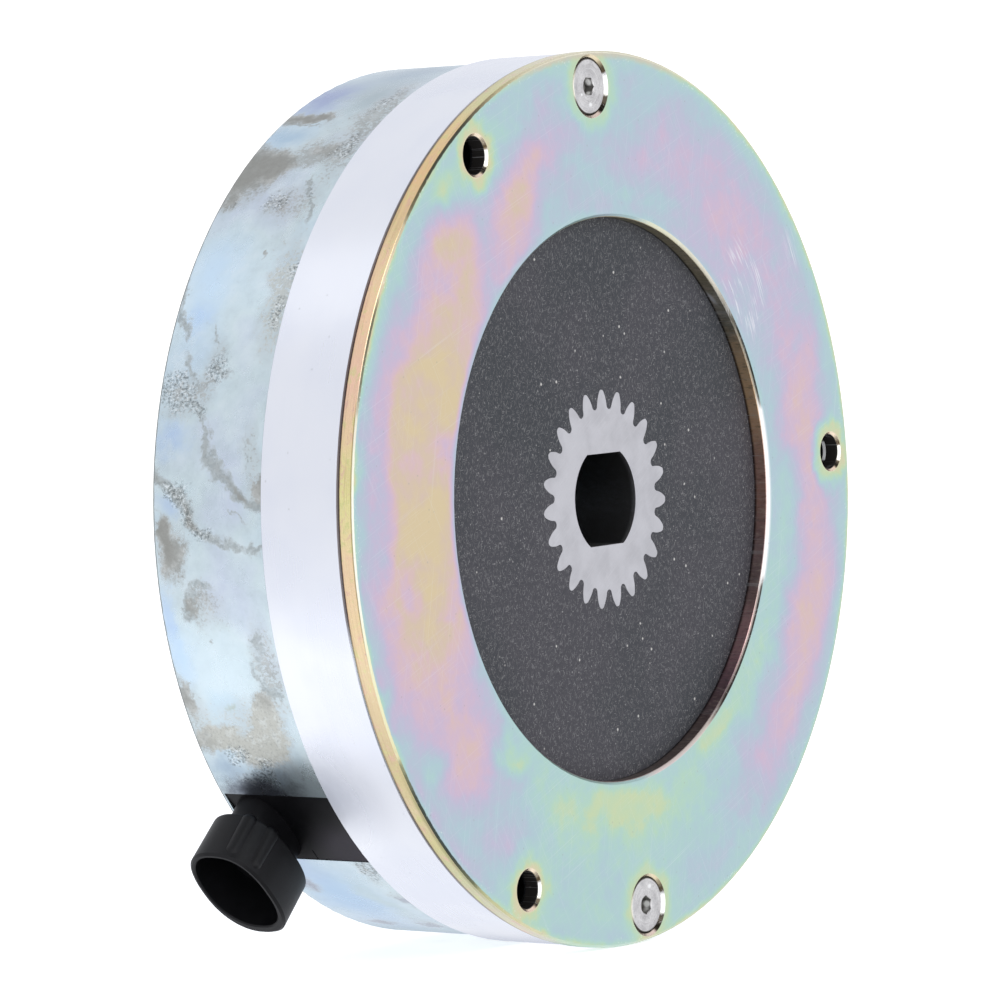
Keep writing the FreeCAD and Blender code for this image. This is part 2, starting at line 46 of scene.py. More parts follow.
class Sheet:
    """A material written as sums of its signals: numbers or sockets go in, a socket comes out."""

    def __init__(self, name, world=None):
        if world is None:
            self.data = bpy.data.materials.new(name)
        else:
            self.data = world
        self.data.use_nodes = True
        self.t = self.data.node_tree
        self.t.nodes.clear()
        self.kept = {}

    def node(self, kind, **props):
        n = self.t.nodes.new(kind)
        for k, v in props.items():
            setattr(n, k, v)
        return n

    def put(self, socket, value):
        if isinstance(value, bpy.types.NodeSocket):
            self.t.links.new(value, socket)
        elif value is not None:
            if socket.type == "RGBA" and len(value) == 3:
                value = tuple(value) + (1.0,)
            socket.default_value = value

    def m(self, op, a, b=None, c=None, clamp=False):
        n = self.node("ShaderNodeMath", operation=op, use_clamp=clamp)
        for s, v in zip(n.inputs, (a, b, c)):
            self.put(s, v)
        return n.outputs[0]

    def add(self, a, b):
        return self.m("ADD", a, b)

    def sub(self, a, b):
        return self.m("SUBTRACT", a, b)

    def mul(self, a, b):
        return self.m("MULTIPLY", a, b)

    def v(self, op, a, b=None, scale=None):
        n = self.node("ShaderNodeVectorMath", operation=op)
        self.put(n.inputs[0], a)
        if b is not None:
            self.put(n.inputs[1], b)
        if scale is not None:
            self.put(n.inputs["Scale"], scale)
        return n.outputs["Value"] if op in ("LENGTH", "DOT_PRODUCT", "DISTANCE") else n.outputs["Vector"]

    def xyz(self, vec):
        n = self.node("ShaderNodeSeparateXYZ")
        self.put(n.inputs[0], vec)
        return n.outputs[0], n.outputs[1], n.outputs[2]

    def join(self, x, y, z=0.0):
        n = self.node("ShaderNodeCombineXYZ")
        for s, v in zip(n.inputs, (x, y, z)):
            self.put(s, v)
        return n.outputs[0]

    def smooth(self, x, a, b, lo=0.0, hi=1.0):
        """lo below a, hi above b, and a smooth step between them; a may be the larger."""
        n = self.node("ShaderNodeMapRange", interpolation_type="SMOOTHSTEP")
        for s, v in zip(n.inputs[:5], (x, a, b, lo, hi)):
            self.put(s, v)
        return n.outputs[0]

    def line(self, x, a, b, lo=0.0, hi=1.0):
        n = self.node("ShaderNodeMapRange", interpolation_type="LINEAR", clamp=True)
        for s, v in zip(n.inputs[:5], (x, a, b, lo, hi)):
            self.put(s, v)
        return n.outputs[0]

    def ramp(self, x, stops, mode="LINEAR"):
        n = self.node("ShaderNodeValToRGB")
        e = n.color_ramp.elements
        n.color_ramp.interpolation = mode
        stops = sorted(stops, key=lambda s: s[0])
        e[0].position, e[0].color = stops[0][0], stops[0][1]
        e[1].position, e[1].color = stops[-1][0], stops[-1][1]
        for p, c in stops[1:-1]:
            k = e.new(p)
            k.color = c
        self.put(n.inputs[0], x)
        return n.outputs[0]

    def curve(self, x, stops, lo=0.0, hi=1.0):
        """A number read off a few (position, value) stops, x from 0 to 1."""
        g = [(p, ((v - lo) / (hi - lo),) * 3 + (1.0,)) for p, v in stops]
        c = self.ramp(x, g, "EASE")
        n = self.node("ShaderNodeSeparateColor")
        self.put(n.inputs[0], c)
        if (lo, hi) == (0.0, 1.0):
            return n.outputs[0]
        return self.m("MULTIPLY_ADD", n.outputs[0], hi - lo, lo)

    def mix(self, f, a, b, mode="MIX"):
        n = self.node("ShaderNodeMix", data_type="RGBA", blend_type=mode)
        self.put(n.inputs["Factor"], f)
        self.put(n.inputs[6], a)
        self.put(n.inputs[7], b)
        return n.outputs[2]

    def blend(self, f, a, b):
        n = self.node("ShaderNodeMix", data_type="FLOAT")
        self.put(n.inputs["Factor"], f)
        self.put(n.inputs[2], a)
        self.put(n.inputs[3], b)
        return n.outputs[0]

    def mm(self):
        """The piece's own coordinates, in millimetres."""
        if "mm" not in self.kept:
            c = self.node("ShaderNodeTexCoord").outputs["Object"]
            self.kept["mm"] = self.v("SCALE", c, scale=1000.0)
        return self.kept["mm"]

    def noise(self, size, detail=2.0, rough=0.5, at=None, distortion=0.0, colour=False, offset=None, w=None):
        """Noise whose features are about size mm across. Mean 0.5."""
        vec = self.mm() if at is None else at
        if offset is not None:
            vec = self.v("ADD", vec, offset)
        n = self.node("ShaderNodeTexNoise", noise_dimensions="3D")
        self.put(n.inputs["Vector"], vec)
        self.put(n.inputs["Scale"], 1.0 / size)
        self.put(n.inputs["Detail"], detail)
        self.put(n.inputs["Roughness"], rough)
        self.put(n.inputs["Distortion"], distortion)
        return n.outputs["Color"] if colour else n.outputs["Fac"]

    def cells(self, size, at=None, feature="F1", randomness=1.0, out="Distance"):
        vec = self.mm() if at is None else at
        n = self.node("ShaderNodeTexVoronoi", feature=feature)
        self.put(n.inputs["Vector"], vec)
        self.put(n.inputs["Scale"], 1.0 / size)
        self.put(n.inputs["Randomness"], randomness)
        return n.outputs[out]

    def blob(self, acc, vec, centre, half, amount, turn=0.0):
        """Adds to acc a soft hill of that height over an ellipse of those half sizes."""
        m = self.node("ShaderNodeMapping", vector_type="TEXTURE")
        self.put(m.inputs["Vector"], vec)
        m.inputs["Location"].default_value = (centre[0], centre[1], 0.0)
        m.inputs["Rotation"].default_value = (0.0, 0.0, rad(turn))
        m.inputs["Scale"].default_value = (half[0], half[1], 1.0)
        g = self.node("ShaderNodeTexGradient", gradient_type="SPHERICAL")
        self.t.links.new(m.outputs[0], g.inputs[0])
        hill = self.smooth(g.outputs["Fac"], 0.0, 1.0, 0.0, amount)
        return hill if acc is None else self.add(acc, hill)

    def strokes(self, turn, size, stretch, cut, soft=0.05, plane="xz", offset=(0, 0, 0)):
        """Fine straight scratches or fibres at an angle: noise drawn out along a line, and only its crests."""
        x, y, z = self.xyz(self.mm())
        a, b = {"xz": (x, z), "xy": (x, y), "yz": (y, z)}[plane]
        m = self.node("ShaderNodeMapping", vector_type="TEXTURE")
        self.put(m.inputs["Vector"], self.join(a, b, 0.0))
        m.inputs["Location"].default_value = offset
        m.inputs["Rotation"].default_value = (0, 0, rad(turn))
        m.inputs["Scale"].default_value = (stretch, size, 1.0)
        n = self.node("ShaderNodeTexNoise", noise_dimensions="2D")
        self.t.links.new(m.outputs[0], n.inputs["Vector"])
        n.inputs["Scale"].default_value = 1.0
        n.inputs["Detail"].default_value = 1.0
        return self.smooth(n.outputs["Fac"], cut, cut + soft)

    def bump(self, height, distance_mm, strength=1.0, normal=None):
        n = self.node("ShaderNodeBump")
        n.inputs["Strength"].default_value = strength
        n.inputs["Distance"].default_value = distance_mm * 0.001
        self.put(n.inputs["Height"], height)
        if normal is not None:
            self.t.links.new(normal, n.inputs["Normal"])
        return n.outputs[0]

    def surface(self, **values):
        s = self.node("ShaderNodeBsdfPrincipled")
        for k, v in values.items():
            self.put(s.inputs[k.replace("_", " ")], v)
        o = self.node("ShaderNodeOutputMaterial")
        self.t.links.new(s.outputs[0], o.inputs[0])
        return s

    # shared coordinates
    def polar(self, vec=None):
        """(x, y, z, radius from the axis, angle 0..360 with its seam on +X, angle -180..180 with its seam on -X)"""
        key = "polar" if vec is None else None
        if key and key in self.kept:
            return self.kept[key]
        x, y, z = self.xyz(self.mm() if vec is None else vec)
        r = self.v("LENGTH", self.join(x, 0.0, z))
        a = self.m("MULTIPLY_ADD", self.m("ARCTAN2", self.mul(z, -1.0), self.mul(x, -1.0)), 180.0 / math.pi, 180.0)
        b = self.mul(self.m("ARCTAN2", z, x), 180.0 / math.pi)
        out = (x, y, z, r, a, b)
        if key:
            self.kept[key] = out
        return out

    def near(self, angle, radius=BOLT_R):
        """Distance in mm from an axis parallel to Y at that place of the bolt circle."""
        x, y, z, r, a, b = self.polar()
        c = (radius * math.cos(rad(angle)), radius * math.sin(rad(angle)))
        return self.v("LENGTH", self.join(self.sub(x, c[0]), self.sub(z, c[1]), 0.0))


def lowest(s, values):
    out = values[0]
    for v in values[1:]:
        out = s.m("MINIMUM", out, v)
    return out


def around(s, angles):
    """Distance from the nearest of those holes' axes, the place beside it, and the direction from it as 0..1, from +X towards +Z."""
    x, y, z, r, a, b = s.polar()
    lx, lz = None, None
    for h in angles:
        inside = s.m("LESS_THAN", s.near(h), 14.0)
        px = s.mul(inside, s.sub(x, BOLT_R * math.cos(rad(h))))
        pz = s.mul(inside, s.sub(z, BOLT_R * math.sin(rad(h))))
        lx = px if lx is None else s.add(lx, px)
        lz = pz if lz is None else s.add(lz, pz)
    turn = s.m("MULTIPLY_ADD", s.m("ARCTAN2", s.mul(lz, -1.0), s.mul(lx, -1.0)), 0.5 / math.pi, 0.5)
    return lowest(s, [s.near(h) for h in angles]), lx, lz, turn


# ------------------------------------------------------------------ mounting plate
def iridescent_zinc():
    """Yellow passivated zinc on ground steel. The film's thickness sets its colour, as in an oil
    slick: from thin to thick it runs yellow-green, mint, pale cyan, lilac, pink, peach and tan."""
    s = Sheet("iridescent_zinc")
    x, y, z, r, a, b = s.polar()
    # drifting borders: the film ran off the plate in soft tongues
    w1 = s.v("SCALE", s.v("SUBTRACT", s.noise(24.0, 2.0, 0.5, colour=True), (0.5, 0.5, 0.5)), scale=15.0)
    w2 = s.v("SCALE", s.v("SUBTRACT", s.noise(6.5, 3.0, 0.55, colour=True), (0.5, 0.5, 0.5)), scale=4.5)
    pw = s.v("ADD", s.mm(), s.v("ADD", w1, w2))
    xw, yw, zw, rw, aw, bw = s.polar(pw)
    flat = s.join(xw, zw, 0.0)
    left = s.join(aw, rw, 0.0)
    right = s.join(bw, rw, 0.0)

    t = s.m("MULTIPLY_ADD", s.noise(17.0, 3.0, 0.55), 0.22, 0.18)
    t = s.m("MULTIPLY_ADD", s.noise(3.2, 4.0, 0.65, offset=(31.0, 7.0, 5.0)), 0.26, s.sub(t, 0.13))
    t = s.m("MULTIPLY_ADD", s.noise(8.5, 3.0, 0.55, offset=(3.0, 77.0, 5.0)), 0.26, s.sub(t, 0.13))
    t = s.blob(t, flat, (30.0, 38.0), (104.0, 84.0), 0.24)
    # the thick film on the left, from the ten o'clock hole down to seven o'clock
    core = s.blob(None, left, (177.0, 59.5), (67.0, 22.5), 0.86)
    core = s.blob(core, left, (163.0, 58.0), (22.0, 13.0), 0.16)
    core = s.blob(core, left, (190.0, 60.0), (17.0, 9.0), 0.20)
    core = s.blob(core, left, (184.0, 71.5), (24.0, 7.0), -0.26)
    core = s.blob(core, flat, (-53.0, 40.0), (15.0, 10.0), 0.34)
    t = s.add(t, core)
    t = s.blob(t, flat, (-31.0, 52.5), (10.5, 16.0), 0.44, -28.0)
    t = s.blob(t, flat, (-22.0, 64.0), (16.0, 11.0), 0.20)
    t = s.blob(t, flat, (-48.0, -46.0), (23.0, 18.0), 0.32, 35.0)
    t = s.blob(t, left, (197.0, 73.0), (30.0, 10.0), 0.30)
    t = s.blob(t, left, (168.0, 75.0), (22.0, 6.0), 0.14)
    t = s.blob(t, flat, (-38.0, -60.0), (12.0, 9.0), 0.22, 20.0)
    t = s.blob(t, flat, (-52.0, 54.0), (9.0, 9.0), -0.22)
    t = s.blob(t, flat, (-43.0, 58.0), (7.0, 5.0), -0.16, 40.0)
    # over the top
    t = s.blob(t, flat, (13.0, 63.0), (16.0, 10.0), 0.11)
    t = s.blob(t, right, (58.0, 66.0), (22.0, 12.0), 0.15)
    t = s.blob(t, flat, (51.0, 39.0), (11.0, 14.0), 0.09)
    # and down the right side
    t = s.blob(t, right, (13.0, 66.0), (26.0, 12.0), 0.30)
    t = s.blob(t, right, (-19.0, 68.5), (36.0, 15.0), 0.46)
    t = s.blob(t, right, (-2.0, 55.0), (64.0, 8.0), -0.10)
    t = s.blob(t, right, (80.0, 55.0), (26.0, 7.0), -0.10)
    t = s.blob(t, right, (-45.0, 67.0), (22.0, 13.0), 0.22)
    # thin film along the bottom of the opening
    t = s.blob(t, left, (264.0, 57.0), (40.0, 9.0), -0.17)
    t = s.blob(t, left, (272.0, 56.5), (26.0, 4.0), -0.05)
    t = s.blob(t, flat, (28.0, -66.0), (16.0, 9.0), 0.12, 20.0)
    t = s.blob(t, flat, (50.0, -57.0), (12.0, 9.0), 0.14, 40.0)
    t = s.blob(t, flat, (-35.0, -43.0), (5.5, 4.5), -0.30)
    t = s.blob(t, flat, (31.0, -43.0), (12.0, 6.0), -0.20, 35.0)
    t = s.blob(t, flat, (-58.0, -45.0), (7.0, 6.0), -0.22)
    t = s.blob(t, flat, (-30.0, 41.0), (7.0, 2.6), -0.45, 37.0)
    # the thick film settled in pools: peach, then yellow-tan where it is thickest
    t = s.m("MINIMUM", t, s.m("MULTIPLY_ADD", s.noise(13.0, 4.0, 0.60, offset=(3.0, 50.0, 9.0)), 1.25, 0.26))
    t = s.m("MAXIMUM", t, s.m("MULTIPLY_ADD", s.noise(7.0, 3.0, 0.6, offset=(8.0, 30.0, 9.0)), 0.18, 0.03))
    # it thins out again towards the outer edge, the opening and every hole
    side = s.smooth(s.add(s.mul(x, 0.75), s.mul(z, 0.66)), -45.0, 45.0)
    turn = s.add(a, s.m("MULTIPLY_ADD", s.noise(5.0, 2.0, 0.5, offset=(4.0, 1.0, 2.0)), 7.0, -3.5))
    upper = s.curve(s.m("DIVIDE", turn, 180.0), [
        (0.0, 0.34), (0.17, 0.29), (0.33, 0.28), (0.44, 0.32), (0.555, 0.30), (0.585, 0.30), (0.615, 0.34), (0.655, 0.42),
        (0.68, 0.38), (0.73, 0.37), (0.765, 0.28), (0.795, 0.35), (0.833, 0.30), (0.865, 0.25), (0.90, 0.25), (0.93, 0.40),
        (0.955, 0.52), (0.978, 0.24), (1.0, 0.46)])
    lower = s.curve(s.m("DIVIDE", s.sub(turn, 180.0), 180.0), [
        (0.0, 0.46), (0.028, 0.40), (0.056, 0.54), (0.078, 0.50), (0.10, 0.34), (0.117, 0.62), (0.133, 0.40), (0.155, 0.62),
        (0.178, 0.36), (0.205, 0.60), (0.222, 0.44), (0.236, 0.64), (0.26, 0.50), (0.28, 0.56), (0.31, 0.48), (0.35, 0.24),
        (0.39, 0.24), (0.406, 0.42), (0.44, 0.32), (0.48, 0.40), (0.58, 0.32), (0.67, 0.36), (0.83, 0.42), (0.92, 0.34), (1.0, 0.34)])
    border = s.blend(s.m("GREATER_THAN", a, 180.0), upper, lower)
    border = s.m("MULTIPLY_ADD", s.noise(4.0, 3.0, 0.6, offset=(0.0, 70.0, 0.0)), 0.34, s.sub(border, 0.17))
    border = s.sub(border, s.smooth(s.add(r, s.noise(2.5, 3.0, 0.6)), 78.6, 80.2, 0.0, 0.20))
    outer = s.smooth(s.add(r, s.m("MULTIPLY_ADD", s.noise(20.0, 2.0, 0.5, offset=(9.0, 9.0, 2.0)), 6.0, -3.0)), 74.0, 79.4)
    t = s.blend(s.mul(outer, 0.92), t, border)
    inner = s.smooth(s.add(r, s.m("MULTIPLY_ADD", s.noise(14.0, 2.0, 0.5, offset=(40.0, 0.0, 2.0)), 2.4, -1.2)), 53.0, 50.3)
    inner_t = s.add(s.m("MULTIPLY_ADD", s.noise(18.0, 2.0, 0.5, offset=(0.0, 20.0, 60.0)), 0.40, 0.04), s.mul(side, 0.08))
    t = s.blend(s.mul(inner, 0.75), t, inner_t)
    halo = s.add(lowest(s, [s.near(h) for h in HOLES]), s.m("MULTIPLY_ADD", s.noise(4.0, 3.0, 0.55, offset=(0.0, 0.0, 33.0)), 6.0, -3.0))
    t = s.blend(s.smooth(halo, 9.2, 5.2, 0.0, 0.80), t, s.smooth(halo, 3.4, 7.6, -0.02, 0.27))
    halo2 = s.add(lowest(s, [s.near(h) for h in SCREWS]), s.m("MULTIPLY_ADD", s.noise(5.0, 3.0, 0.55), 5.0, -2.5))
    t = s.blend(s.smooth(halo2, 10.6, 7.2, 0.0, 0.65), t, s.smooth(halo2, 5.8, 9.4, 0.03, 0.26))
    film = s.ramp(t, [
        (0.00, lin((217, 197, 175))), (0.05, lin((215, 208, 170))), (0.11, lin((199, 214, 172))), (0.19, lin((182, 213, 190))),
        (0.28, lin((177, 208, 202))), (0.38, lin((178, 201, 207))), (0.47, lin((185, 194, 207))),
        (0.55, lin((193, 189, 208))), (0.63, lin((204, 185, 205))), (0.71, lin((212, 186, 199))),
        (0.79, lin((217, 189, 186))), (0.88, lin((214, 193, 172))), (1.00, lin((217, 198, 160)))])

    # the turned edge and the ones broken by the tool
    angle = s.m("DIVIDE", a, 360.0)
    drift = s.add(angle, s.m("MULTIPLY_ADD", s.noise(5.0, 3.0, 0.6), 0.022, -0.011))
    rim_tone = s.ramp(drift, [
        (0.000, lin((200, 188, 150))), (0.200, lin((210, 212, 172))), (0.300, lin((216, 208, 166))), (0.330, lin((216, 212, 160))),
        (0.352, lin((236, 208, 152))), (0.378, lin((238, 200, 150))), (0.400, lin((232, 206, 158))), (0.417, lin((230, 202, 162))),
        (0.436, lin((240, 204, 166))), (0.458, lin((246, 206, 178))), (0.475, lin((244, 214, 172))), (0.492, lin((236, 226, 160))),
        (0.503, lin((238, 228, 164))), (0.520, lin((246, 216, 176))), (0.540, lin((236, 210, 166))), (0.556, lin((228, 206, 166))),
        (0.583, lin((214, 194, 154))), (0.600, lin((224, 208, 158))), (0.613, lin((236, 216, 176))), (0.628, lin((214, 206, 150))),
        (0.645, lin((206, 204, 160))), (0.667, lin((206, 206, 172))), (0.690, lin((220, 210, 176))), (0.705, lin((208, 208, 176))),
        (0.718, lin((186, 210, 190))), (0.740, lin((176, 208, 196))), (0.765, lin((190, 208, 196))), (1.000, lin((200, 188, 150)))])
    along = s.join(s.mul(a, 1.4), s.mul(y, 1.5), 0.0)
    mottle = s.noise(2.6, 4.0, 0.62, at=along, distortion=0.6)
    rim_tone = s.mix(s.smooth(mottle, 0.53, 0.68, 0.0, 0.60), rim_tone, lin((232, 188, 172)))
    rim_tone = s.mix(s.smooth(mottle, 0.46, 0.32, 0.0, 0.60), rim_tone, lin((214, 216, 148)))
    ringlines = s.noise(0.5, 3.0, 0.6, at=s.join(s.mul(a, 0.05), s.mul(y, 1.0), 0.0))
    rim_tone = s.mix(s.smooth(ringlines, 0.50, 0.72, 0.0, 0.30), rim_tone, lin((178, 142, 116)))
    grit = s.noise(0.35, 3.0, 0.65)
    rim_tone = s.mix(s.smooth(grit, 0.56, 0.74, 0.0, 0.35), rim_tone, lin((250, 240, 216)))
    rim = s.smooth(r, 79.80, 79.97)
    # over the top the film ends in a beige border
    topmost = s.mul(s.smooth(s.add(r, s.m("MULTIPLY_ADD", s.noise(2.5, 3.0, 0.6), 1.2, -0.6)), 78.2, 79.5), s.mul(s.smooth(a, 70.0, 82.0), s.smooth(a, 118.0, 106.0)))
    film = s.mix(s.mul(topmost, 0.8), film, lin((206, 196, 180)))
    col = s.mix(rim, film, rim_tone)
    # below the bright arris a thin olive line, and along the joint with the ring a painted shade line darkens the gap
    olive = s.mul(s.mul(s.smooth(y, 0.13, 0.18), s.smooth(y, 0.44, 0.30)), s.mul(s.smooth(angle, 0.455, 0.475), s.smooth(angle, 0.560, 0.535)))
    col = s.mix(s.mul(s.mul(olive, s.smooth(r, 79.72, 79.80)), 0.75), col, lin((122, 112, 74)))
    seam_amount = s.curve(drift, [(0.0, 0.4), (0.26, 0.2), (0.32, 0.45), (0.35, 0.75), (0.39, 0.85), (0.43, 1.0), (0.535, 0.95),
                                  (0.555, 0.35), (0.59, 0.30), (0.615, 0.85), (0.67, 0.7), (0.70, 0.4), (0.72, 0.05), (0.74, 0.0), (1.0, 0.4)])
    seam_tone = s.ramp(drift, [(0.0, lin((110, 90, 74))), (0.35, lin((112, 98, 82))), (0.42, lin((82, 60, 56))), (0.545, lin((74, 54, 50))),
                               (0.58, lin((112, 92, 74))), (0.62, lin((86, 80, 52))), (0.67, lin((108, 98, 74))), (1.0, lin((110, 90, 74)))])
    # painted shade: a soft brown shading on the rim towards the ring
    rim_shade = s.mul(s.smooth(y, 2.20, 2.85), s.curve(angle, [(0.0, 0.4), (0.30, 0.1), (0.34, 0.45), (0.40, 0.40), (0.44, 0.20), (0.53, 0.10),
                                                          (0.56, 0.45), (0.64, 0.60), (0.69, 0.45), (0.715, 0.0), (1.0, 0.4)]))
    col = s.mix(s.mul(rim_shade, rim), col, lin((146, 128, 106)))
    below = s.mul(s.mul(s.smooth(y, 0.30, 0.40), s.smooth(y, 1.30, 0.50)), s.mul(s.smooth(drift, 0.590, 0.612), s.smooth(drift, 0.675, 0.645)))
    col = s.mix(s.mul(s.mul(below, rim), 0.6), col, lin((148, 148, 104)))
    # painted shade in the gap between the plate's rim and the ring
    seam = s.mul(s.smooth(r, 79.70, 79.85), s.smooth(s.add(y, s.mul(grit, 0.12)), 2.58, 2.74))
    col = s.mix(s.mul(seam, seam_amount), col, seam_tone)
    # the front arris: painted reflection, nearly black in three runs where it would mirror dark studio, and painted
    # highlights between them
    thin = s.curve(angle, [(0.0, 0.0), (0.392, 0.0), (0.405, 0.11), (0.432, 0.12), (0.47, 0.13), (0.53, 0.12), (0.556, 0.05), (0.60, 0.0), (1.0, 0.0)])
    edge = s.mul(s.smooth(s.add(r, s.m("MULTIPLY_ADD", s.noise(1.3, 3.0, 0.6), 0.30, -0.15)), 79.46, 79.60), s.smooth(s.add(y, thin), 0.36, 0.27))
    arris_reflection_tone = s.ramp(drift, [
        (0.000, lin((190, 170, 120))), (0.264, lin((226, 222, 200))), (0.300, lin((212, 204, 178))), (0.322, lin((182, 168, 128))),
        (0.336, lin((112, 96, 70))), (0.350, lin((50, 42, 30))), (0.378, lin((48, 44, 32))), (0.393, lin((98, 88, 60))),
        (0.402, lin((196, 180, 148))), (0.422, lin((216, 200, 172))), (0.431, lin((130, 122, 94))), (0.441, lin((92, 92, 72))),
        (0.458, lin((112, 108, 86))), (0.472, lin((222, 216, 194))), (0.500, lin((240, 237, 222))), (0.536, lin((238, 236, 218))),
        (0.552, lin((230, 228, 190))), (0.586, lin((222, 216, 172))), (0.595, lin((110, 112, 82))), (0.606, lin((44, 50, 38))),
        (0.634, lin((36, 44, 32))), (0.650, lin((86, 88, 56))), (0.662, lin((180, 178, 130))), (0.690, lin((212, 202, 162))),
        (0.722, lin((188, 214, 198))), (0.750, lin((204, 218, 208))), (0.780, lin((220, 216, 186))), (1.000, lin((200, 184, 130)))])
    edge_amount = s.curve(angle, [(0.0, 0.55), (0.24, 0.6), (0.30, 0.75), (0.34, 0.95), (0.66, 0.95), (0.70, 0.8), (0.78, 0.6), (1.0, 0.55)])
    arris = s.mul(edge, edge_amount)
    col = s.mix(arris, col, arris_reflection_tone)
    # a spatter of fine pale grains just inside it
    grains = s.mul(s.smooth(s.cells(0.62), 0.30, 0.12), s.smooth(s.noise(4.5, 3.0, 0.6, offset=(7.0, 7.0, 0.0)), 0.46, 0.60))
    grains = s.mul(grains, s.mul(s.smooth(r, 77.2, 79.0), s.smooth(r, 79.8, 79.6)))
    col = s.mix(s.mul(grains, 0.65), col, lin((228, 238, 230)))
    # the opening's wall, and its chamfer
    wall = s.smooth(r, 50.62, 50.54)
    round_b = s.add(s.m("DIVIDE", b, 360.0), 0.5)
    wavy = s.add(round_b, s.m("MULTIPLY_ADD", s.noise(1.6, 3.0, 0.6, offset=(2.0, 0.0, 9.0)), 0.024, -0.012))
    wall_tone = s.ramp(wavy, [
        (0.292, lin((162, 145, 138))), (0.339, lin((150, 131, 126))), (0.361, lin((149, 123, 125))), (0.381, lin((162, 129, 138))),
        (0.400, lin((209, 164, 168))), (0.422, lin((222, 177, 177))), (0.439, lin((178, 148, 143))), (0.450, lin((164, 142, 138))),
        (0.472, lin((180, 150, 146))), (0.494, lin((196, 153, 138))), (0.522, lin((201, 161, 144))), (0.544, lin((237, 197, 156))),
        (0.567, lin((245, 208, 162))), (0.592, lin((224, 195, 157))), (0.606, lin((153, 148, 129))), (0.628, lin((191, 186, 172))),
        (0.642, lin((163, 155, 129))), (0.667, lin((188, 178, 149))), (0.708, lin((189, 180, 146)))])
    drawn = s.noise(0.5, 3.0, 0.7, at=s.join(x, s.mul(y, 0.25), z))
    wall_tone = s.mix(s.smooth(drawn, 0.50, 0.72, 0.0, 0.45), wall_tone, lin((232, 214, 200)))
    wall_tone = s.mix(s.smooth(drawn, 0.48, 0.30, 0.0, 0.45), wall_tone, lin((96, 84, 78)))
    # painted highlight: a white fleck on the wall, up to the right
    smear = s.blob(None, s.join(s.mul(b, 0.88), y, 0.0), (46.5 * 0.88, 2.2), (2.6, 0.8), 1.0, 15.0)
    wall_tone = s.mix(smear, wall_tone, lin((250, 250, 252)))
    # painted shade along the back of the wall, where the lining meets it
    wall_tone = s.mix(s.mul(s.smooth(s.add(y, s.m("MULTIPLY_ADD", drawn, 0.3, -0.15)), 2.35, 2.85), 0.9), wall_tone, lin((52, 44, 44)))
    col = s.mix(wall, col, wall_tone)
    facing = s.mul(s.smooth(b, -84.0, -76.0), s.smooth(b, 84.0, 76.0))
    lip = s.mul(s.mul(s.sub(1.0, wall), s.smooth(s.add(r, s.m("MULTIPLY_ADD", drawn, 0.10, -0.05)), 51.14, 51.02)), facing)
    # painted reflection on the opening's chamfer, read round it: a painted highlight on the right, near black just
    # above and below it
    outer = s.ramp(round_b, [
        (0.292, lin((214, 200, 196))), (0.344, lin((212, 200, 190))), (0.356, lin((120, 112, 104))), (0.367, lin((44, 38, 34))),
        (0.439, lin((30, 28, 25))), (0.4475, lin((90, 88, 84))), (0.452, lin((252, 250, 246))), (0.5515, lin((252, 250, 246))),
        (0.556, lin((96, 98, 90))), (0.567, lin((38, 42, 36))), (0.606, lin((56, 58, 52))), (0.620, lin((150, 146, 134))),
        (0.640, lin((216, 210, 196))), (0.708, lin((216, 216, 188)))])
    within = s.ramp(round_b, [
        (0.292, lin((206, 192, 186))), (0.350, lin((198, 186, 176))), (0.370, lin((84, 72, 68))), (0.386, lin((148, 134, 126))),
        (0.417, lin((172, 156, 148))), (0.442, lin((160, 148, 140))), (0.452, lin((250, 248, 244))), (0.5515, lin((250, 248, 244))),
        (0.562, lin((176, 168, 150))), (0.600, lin((156, 148, 128))), (0.614, lin((96, 90, 78))), (0.634, lin((196, 188, 170))),
        (0.708, lin((212, 210, 184)))])
    col = s.mix(lip, col, s.mix(s.smooth(r, 50.70, 50.84), within, outer))
    # painted highlight on the face just outside the chamfer, on the right
    gleam = s.mul(s.mul(s.smooth(r, 51.9, 51.1), s.smooth(r, 51.02, 51.14)), s.mul(s.smooth(b, -18.6, -17.2), s.smooth(b, 19.4, 18.0)))
    col = s.mix(s.mul(gleam, 0.75), col, lin((246, 246, 246)))
    # the holes' chamfers and the countersinks: film coloured, with a painted highlight on the right and painted dark
    # reflection just above and below it
    dh, hx, hz, ht = around(s, HOLES)
    ds, sx, sz, st = around(s, SCREWS)
    fray = s.m("MULTIPLY_ADD", s.noise(0.9, 3.0, 0.6), 0.03, -0.015)
    hole_wall = s.smooth(dh, 3.92, 3.76)
    hole_tone = s.ramp(s.add(ht, fray), [
        (0.000, lin((252, 250, 242))), (0.048, lin((252, 250, 242))), (0.064, lin((140, 120, 92))), (0.086, lin((150, 130, 100))),
        (0.110, lin((250, 232, 202))), (0.300, lin((252, 232, 206))), (0.550, lin((236, 220, 192))), (0.720, lin((242, 220, 198))),
        (0.838, lin((234, 210, 186))), (0.862, lin((92, 84, 70))), (0.914, lin((78, 70, 58))), (0.936, lin((246, 244, 234))),
        (1.000, lin((252, 250, 242)))])
    col = s.mix(hole_wall, col, hole_tone)
